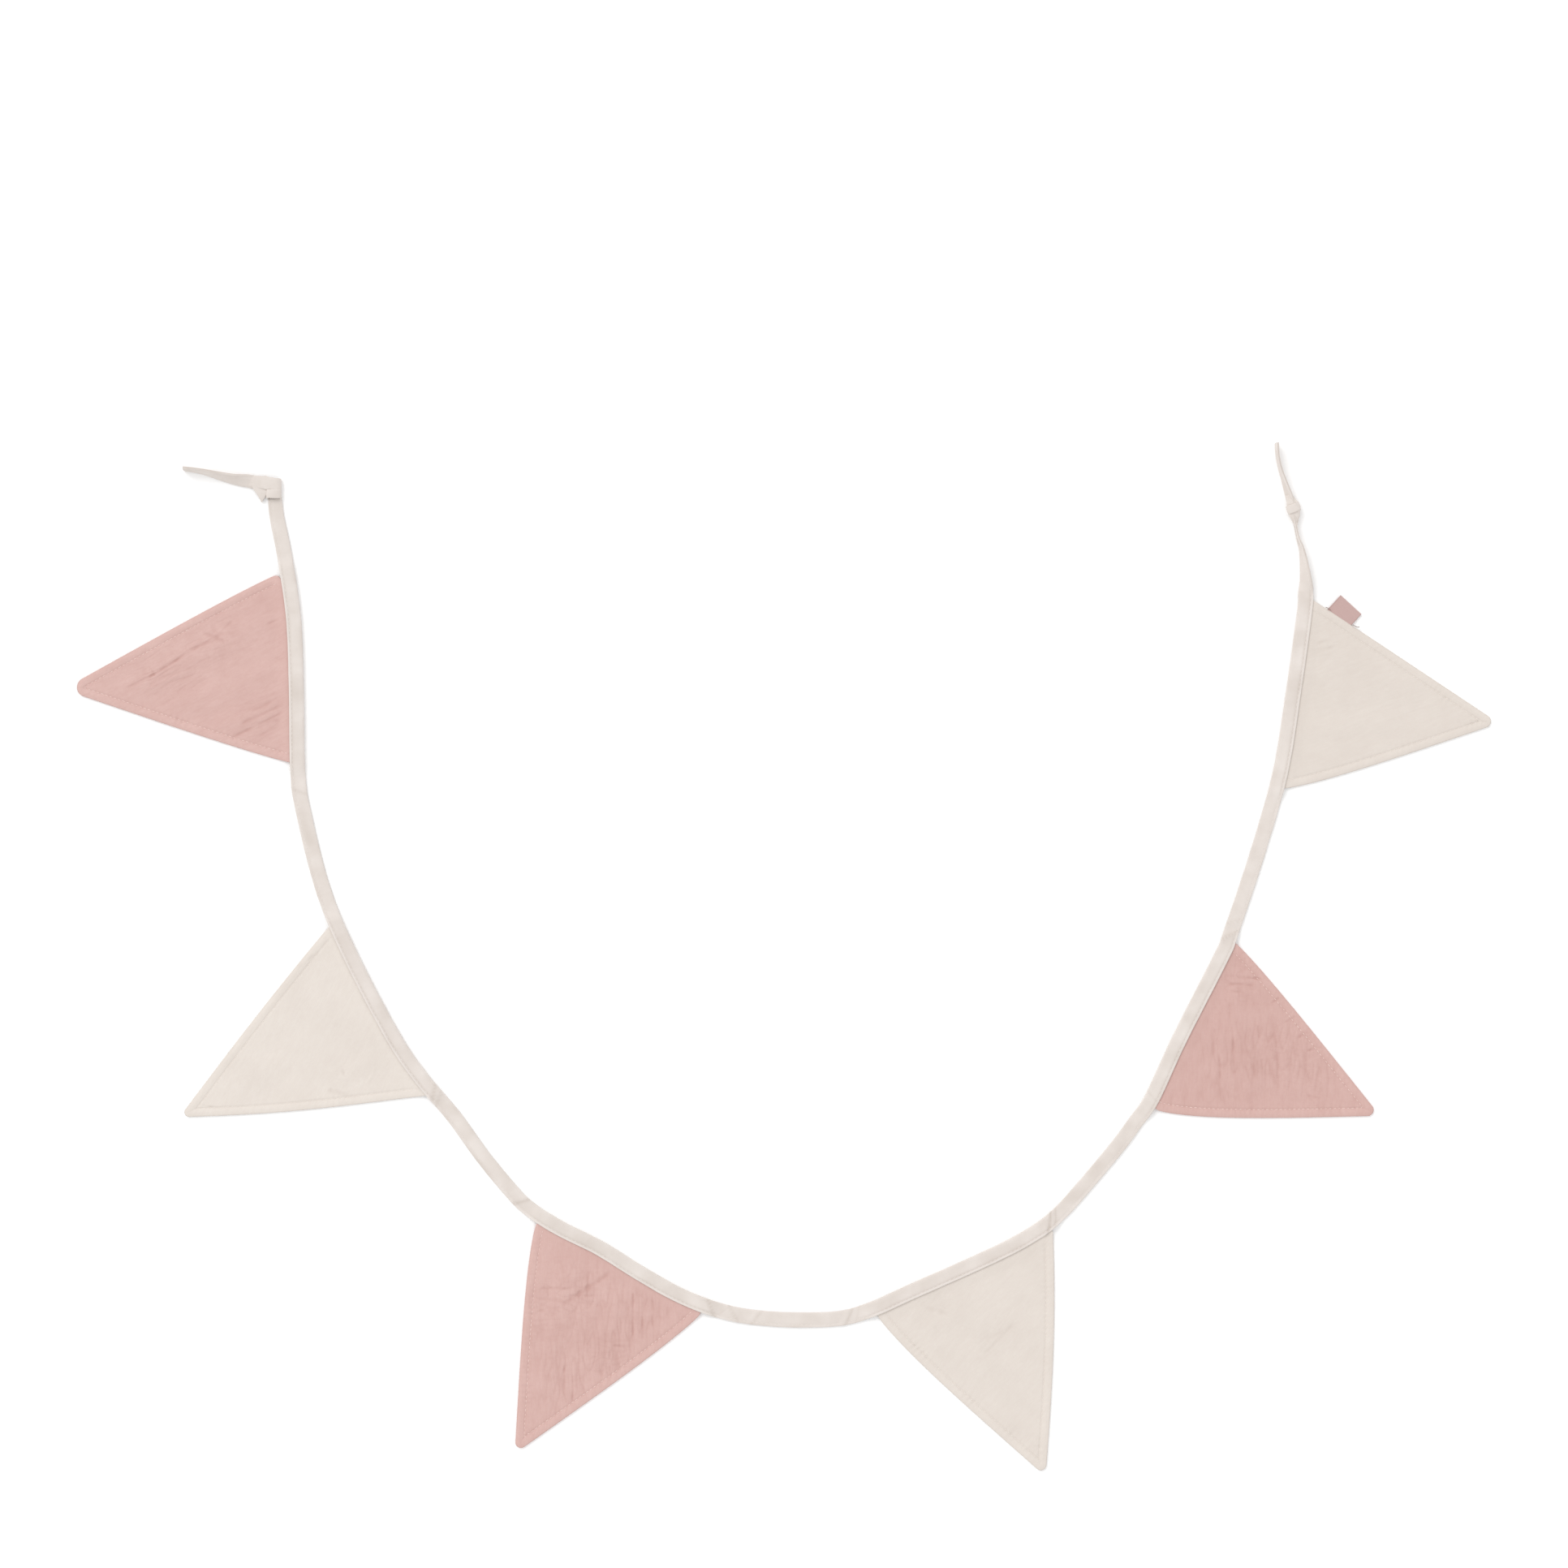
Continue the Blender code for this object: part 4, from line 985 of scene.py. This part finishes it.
def row_of_stitches(name, lines, cloth):
    """Stitches along some lines, each a list of points with the side that it shows on, as one piece."""
    joined = bmesh.new()
    for points, side in lines:
        data = bpy.data.meshes.new(name + "_line")
        data.from_pydata(points, [(i, i + 1) for i in range(len(points) - 1)], [])
        line = add_object(name + "_line", data)
        sewing = line.modifiers.new("sewing", "NODES")
        sewing.node_group = stitches
        values = {"Pitch": TOPSTITCH_PITCH * MM, "Stitch length": STITCH_LENGTH * MM,
                  "Thread radius": THREAD_RADIUS[cloth] * MM, "Sink of the ends": STITCH_SINK * MM * side,
                  "Thread": thread[cloth]}
        for socket in stitches.interface.items_tree:
            if socket.name in values:
                sewing[socket.identifier] = values[socket.name]
        bpy.context.view_layer.update()
        drawn = bpy.data.meshes.new_from_object(line.evaluated_get(bpy.context.evaluated_depsgraph_get()))
        joined.from_mesh(drawn)
        bpy.data.objects.remove(line)
    bmesh.ops.recalc_face_normals(joined, faces=joined.faces)
    whole = bpy.data.meshes.new(name)
    joined.to_mesh(whole)
    joined.free()
    whole.shade_smooth()
    whole.materials.clear()
    whole.materials.append(thread[cloth])
    piece = add_object(name, whole)
    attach(piece, "root")
    return piece


def lines_on_cloth(piece, flat_line):
    """A line of points in mm laid on a piece's upper face, and the same line on its underside."""
    solid = bmesh.new()
    solid.from_mesh(piece.data)
    faces = BVHTree.FromBMesh(solid)
    solid.free()
    above = []
    below = []
    for x, y in flat_line:
        spot = Vector(place(x, y, 0.0))
        hit = faces.ray_cast(spot + Vector((0.0, 0.0, 0.05)), Vector((0.0, 0.0, -1.0)))[0]
        under = faces.ray_cast(spot - Vector((0.0, 0.0, 0.05)), Vector((0.0, 0.0, 1.0)))[0]
        if hit and under:
            above.append(hit + Vector((0.0, 0.0, STITCH_RAISED * MM)))
            below.append(under + Vector((0.0, 0.0, STITCH_RAISED_BELOW * MM)))
    return [(above, 1.0), (below, -1.0)]


def topstitch_line(outline):
    """The stitch line inside a pennant's free sides, from the tape to the tip and back to the tape."""
    points = points_at(outline, np.arange(0.0, distances_along(outline)[-1], STITCH_LINE_STEP))
    ways = np.gradient(points, axis=0)
    ways = ways / np.linalg.norm(ways, axis=1)[:, None]
    inside = np.stack([-ways[:, 1], ways[:, 0]], 1)
    if np.dot(inside[10], outline.mean(axis=0) - points[10]) < 0.0:
        inside = -inside
    moved = points + inside * TOPSTITCH_IN
    gaps = np.linalg.norm(moved[:, None, :] - points[None, :, :], axis=-1).min(axis=1)
    return [tuple(point) for point, gap in zip(moved, gaps) if gap > TOPSTITCH_IN - 0.12]


stitches = stitch_tree()
thread = {name: sewing_thread(name, code) for name, code in THREADS.items()}
for pennant, piece, outline, points in pennants:
    seam = row_of_stitches(pennant["name"] + "_topstitching", lines_on_cloth(piece, topstitch_line(outline)),
                           pennant["cloth"])
    x, y = (np.vstack([points[:, 0], points[::-1, -1]]) * MM).T

rings, stations, shading, groove = tape_runs[0]
upper = [tuple(ring[groove] + np.array((0.0, 0.0, STITCH_RAISED * MM))) for ring in rings]
lower = [tuple((ring[4] + ring[5]) / 2.0 + np.array((0.0, 0.0, 0.2 * MM))) for ring in rings]
tape_seam = row_of_stitches("tape_stitching", [(upper, 1.0), (lower, -1.0)], "tape")


# SIDE LABEL
# A short woven satin tape folded over, its two cut ends caught in the upper seam of the last pennant.
# It is woven in a deeper dusty pink and is bare. A dark thread end shows on the seam at either side.

LABEL_WIDTH = 20.0
LABEL_PROUD = 12.0
LABEL_IN_SEAM = 2.5
LABEL_LEAF = 0.45
LABEL_GAP = 0.2
LABEL_FROM_CORNER = 12.4
LABEL_LEAN = math.radians(9.0)
LABEL_TAPER = 0.26
LABEL_ACROSS = 60
LABEL_SATIN = "c0a39e"
LABEL_SELVEDGE = "b4938e"
THREAD_END_RADIUS = 0.24
THREAD_END = "8f7a70"

# Middle lines of the two thread ends, x, y and z in mm
THREAD_ENDS = (
    ((380.6, 244.8, 1.5), (382.1, 244.2, 2.0), (384.3, 242.6, 2.0)),
    ((399.7, 232.5, 2.0), (402.1, 231.1, 2.1), (404.3, 230.9, 1.6)),
)


def woven_satin():
    """Woven damask label tape: close, smooth and a little glossy, with a fine rib along the weft.

    The weft, 0.2 mm apart in the real tape, is drawn at 0.5 mm so that it shows.
    """
    material, tree, shader = new_material("woven satin label tape")
    own = add_node(tree, "ShaderNodeUVMap", uv_map="cloth")
    rib = add_node(tree, "ShaderNodeTexWave", {
        "Vector": own.outputs["UV"], "Scale": 0.314 / 0.0005, "Distortion": 0.3}, bands_direction="Y")
    warp = add_node(tree, "ShaderNodeTexNoise", {
        "Vector": own.outputs["UV"], "Scale": 900.0, "Detail": 2.0})
    creased = add_node(tree, "ShaderNodeAttribute", attribute_name="crease")
    mixed = add_node(tree, "ShaderNodeMath", {0: warp.outputs["Fac"], 1: 0.35}, operation="MULTIPLY")
    tone = add_node(tree, "ShaderNodeMath", {
        0: creased.outputs["Fac"], 1: mixed}, operation="ADD")
    colour = add_node(tree, "ShaderNodeMix", {
        0: tone, 6: linear(LABEL_SATIN), 7: linear(LABEL_SELVEDGE)}, data_type="RGBA")
    bump = add_node(tree, "ShaderNodeBump", {
        "Height": rib.outputs["Fac"], "Strength": 0.4, "Distance": 0.00008})
    set_inputs(tree, shader, {
        "Base Color": colour.outputs[2], "Normal": bump, "Roughness": 0.62,
        "Specular IOR Level": 0.4, "Sheen Weight": 0.1})
    return material


last_outline = pennants[-1][2]
label_ends = points_at(last_outline[::-1], (LABEL_FROM_CORNER, LABEL_FROM_CORNER + LABEL_WIDTH))
label_way = (label_ends[1] - label_ends[0]) / np.linalg.norm(label_ends[1] - label_ends[0])
label_out = np.array([-label_way[1], label_way[0]])
label_whole = 2.0 * LABEL_LEAF + LABEL_GAP
label_fold = label_whole / 2.0
label_straight = LABEL_PROUD - label_fold
label_inside = LABEL_PROUD - 2.0 * label_fold
label_upper_leaf = label_whole - LABEL_LEAF
label_section = [(-LABEL_IN_SEAM, 0.0)]
label_section += [(proud, 0.0) for proud in np.linspace(0.0, label_straight, 16)]
label_section += [(label_straight + label_fold * math.sin(turn), label_fold - label_fold * math.cos(turn))
                  for turn in np.linspace(0.2, math.pi - 0.2, 10)]
label_section += [(proud, label_whole) for proud in np.linspace(label_straight, 0.0, 16)]
label_section += [(-LABEL_IN_SEAM, label_whole), (-LABEL_IN_SEAM, label_upper_leaf)]
label_section += [(proud, label_upper_leaf) for proud in np.linspace(0.0, label_inside, 8)]
label_section += [(proud, LABEL_LEAF) for proud in np.linspace(label_inside, 0.0, 8)]
label_section += [(-LABEL_IN_SEAM, LABEL_LEAF)]
label_rings = []
label_uv = []
label_edge = []
for step in range(LABEL_ACROSS):
    share = step / (LABEL_ACROSS - 1)
    selvedge = math.exp(-(min(share, 1.0 - share) * LABEL_WIDTH / 0.7) ** 2)
    root = label_ends[0] + (label_ends[1] - label_ends[0]) * share
    reach = 1.0 + LABEL_TAPER * (0.5 - share)
    ring = []
    for proud, up in label_section:
        curl = 0.25 * (proud / LABEL_PROUD) ** 2 * (0.6 + 0.4 * math.cos(3.0 * share))
        swell = 0.08 * noise.noise(Vector((share * 6.0, proud / 4.0, 2.0))) + 0.08 * selvedge
        height = up + (curl + swell if up > 0.0 else 0.6 * curl)
        x, y = root + (label_out + label_way * math.tan(LABEL_LEAN)) * proud * (reach if proud > 0.0 else 1.0)
        ring.append(place(x, y, max(height, 0.0) + 0.05))
        label_uv.append((share * LABEL_WIDTH * MM, proud * MM))
        label_edge.append(0.7 * selvedge)
    label_rings.append(ring)
label_vertices, label_faces = closed_loft(label_rings)
label = new_piece("side_label_cloth", label_vertices, label_faces, label_uv, label_edge)
label.data.materials.append(woven_satin())
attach(label, "root")
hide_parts("side_label")

ends = []
for line in THREAD_ENDS:
    rings = []
    for spot in smooth_rows(line, 6, curved=3):
        turns = [2.0 * math.pi * k / 8 for k in range(8)]
        rings.append([place(spot[0], spot[1] + THREAD_END_RADIUS * math.cos(turn),
                            spot[2] + THREAD_END_RADIUS * math.sin(turn)) for turn in turns])
    ends.append((rings, False))
thread_ends = new_piece("label_thread_ends", *joined_lofts(ends))
thread_ends.data.materials.append(sewing_thread("dark", THREAD_END))
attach(thread_ends, "root")


# FLOOR, LIGHT AND CAMERA
# A plain white table top, an even sky of studio light and a broad soft light from the upper left, with
# the camera straight above the lay.

FRAME_WIDTH = 1932 * 0.57 * MM
CAMERA_LENS = 100.0
SENSOR_WIDTH = 36.0
CAMERA_X = 0.0001
CAMERA_Y = 0.1215
FLOOR_WHITE = "fdfdfd"
FLOOR_HALF = 12.0
FLOOR_BELOW = 0.0003
SKY_STRENGTH = 0.98
SUN_STRENGTH = 0.85
SUN_ELEVATION = math.radians(42.0)
SUN_AZIMUTH = math.radians(128.0)
SUN_ACROSS = math.radians(28.0)

floor_data = bpy.data.meshes.new("floor")
floor_corners = [(x * FLOOR_HALF, y * FLOOR_HALF, 0.0) for x, y in ((-1, -1), (1, -1), (1, 1), (-1, 1))]
floor_data.from_pydata(floor_corners, [], [(0, 1, 2, 3)])
floor = add_object("floor", floor_data)
floor.location.z = -FLOOR_BELOW
floor_paint, floor_tree, floor_shader = new_material("matt white table top")
set_inputs(floor_tree, floor_shader, {
    "Base Color": linear(FLOOR_WHITE), "Roughness": 0.95, "Specular IOR Level": 0.0})
floor_data.materials.append(floor_paint)

world = bpy.data.worlds.new("studio")
world.use_nodes = True
set_inputs(world.node_tree, world.node_tree.nodes["Background"], {
    "Color": (1.0, 1.0, 1.0, 1.0), "Strength": SKY_STRENGTH})
bpy.context.scene.world = world

sun_data = bpy.data.lights.new("broad soft light", "SUN")
sun_data.energy = SUN_STRENGTH
sun_data.angle = SUN_ACROSS
sun = add_object("broad soft light", sun_data)
sun_from = Vector((math.cos(SUN_ELEVATION) * math.cos(SUN_AZIMUTH),
                   math.cos(SUN_ELEVATION) * math.sin(SUN_AZIMUTH), math.sin(SUN_ELEVATION)))
sun.rotation_euler = sun_from.to_track_quat("Z", "Y").to_euler()

camera_data = bpy.data.cameras.new("above")
camera_data.lens = CAMERA_LENS
camera_data.sensor_width = SENSOR_WIDTH
camera_data.clip_end = 20.0
camera = add_object("above", camera_data)
camera.location = (CAMERA_X, CAMERA_Y, FRAME_WIDTH * CAMERA_LENS / SENSOR_WIDTH)
bpy.context.scene.camera = camera
bpy.context.scene.view_settings.view_transform = "Standard"
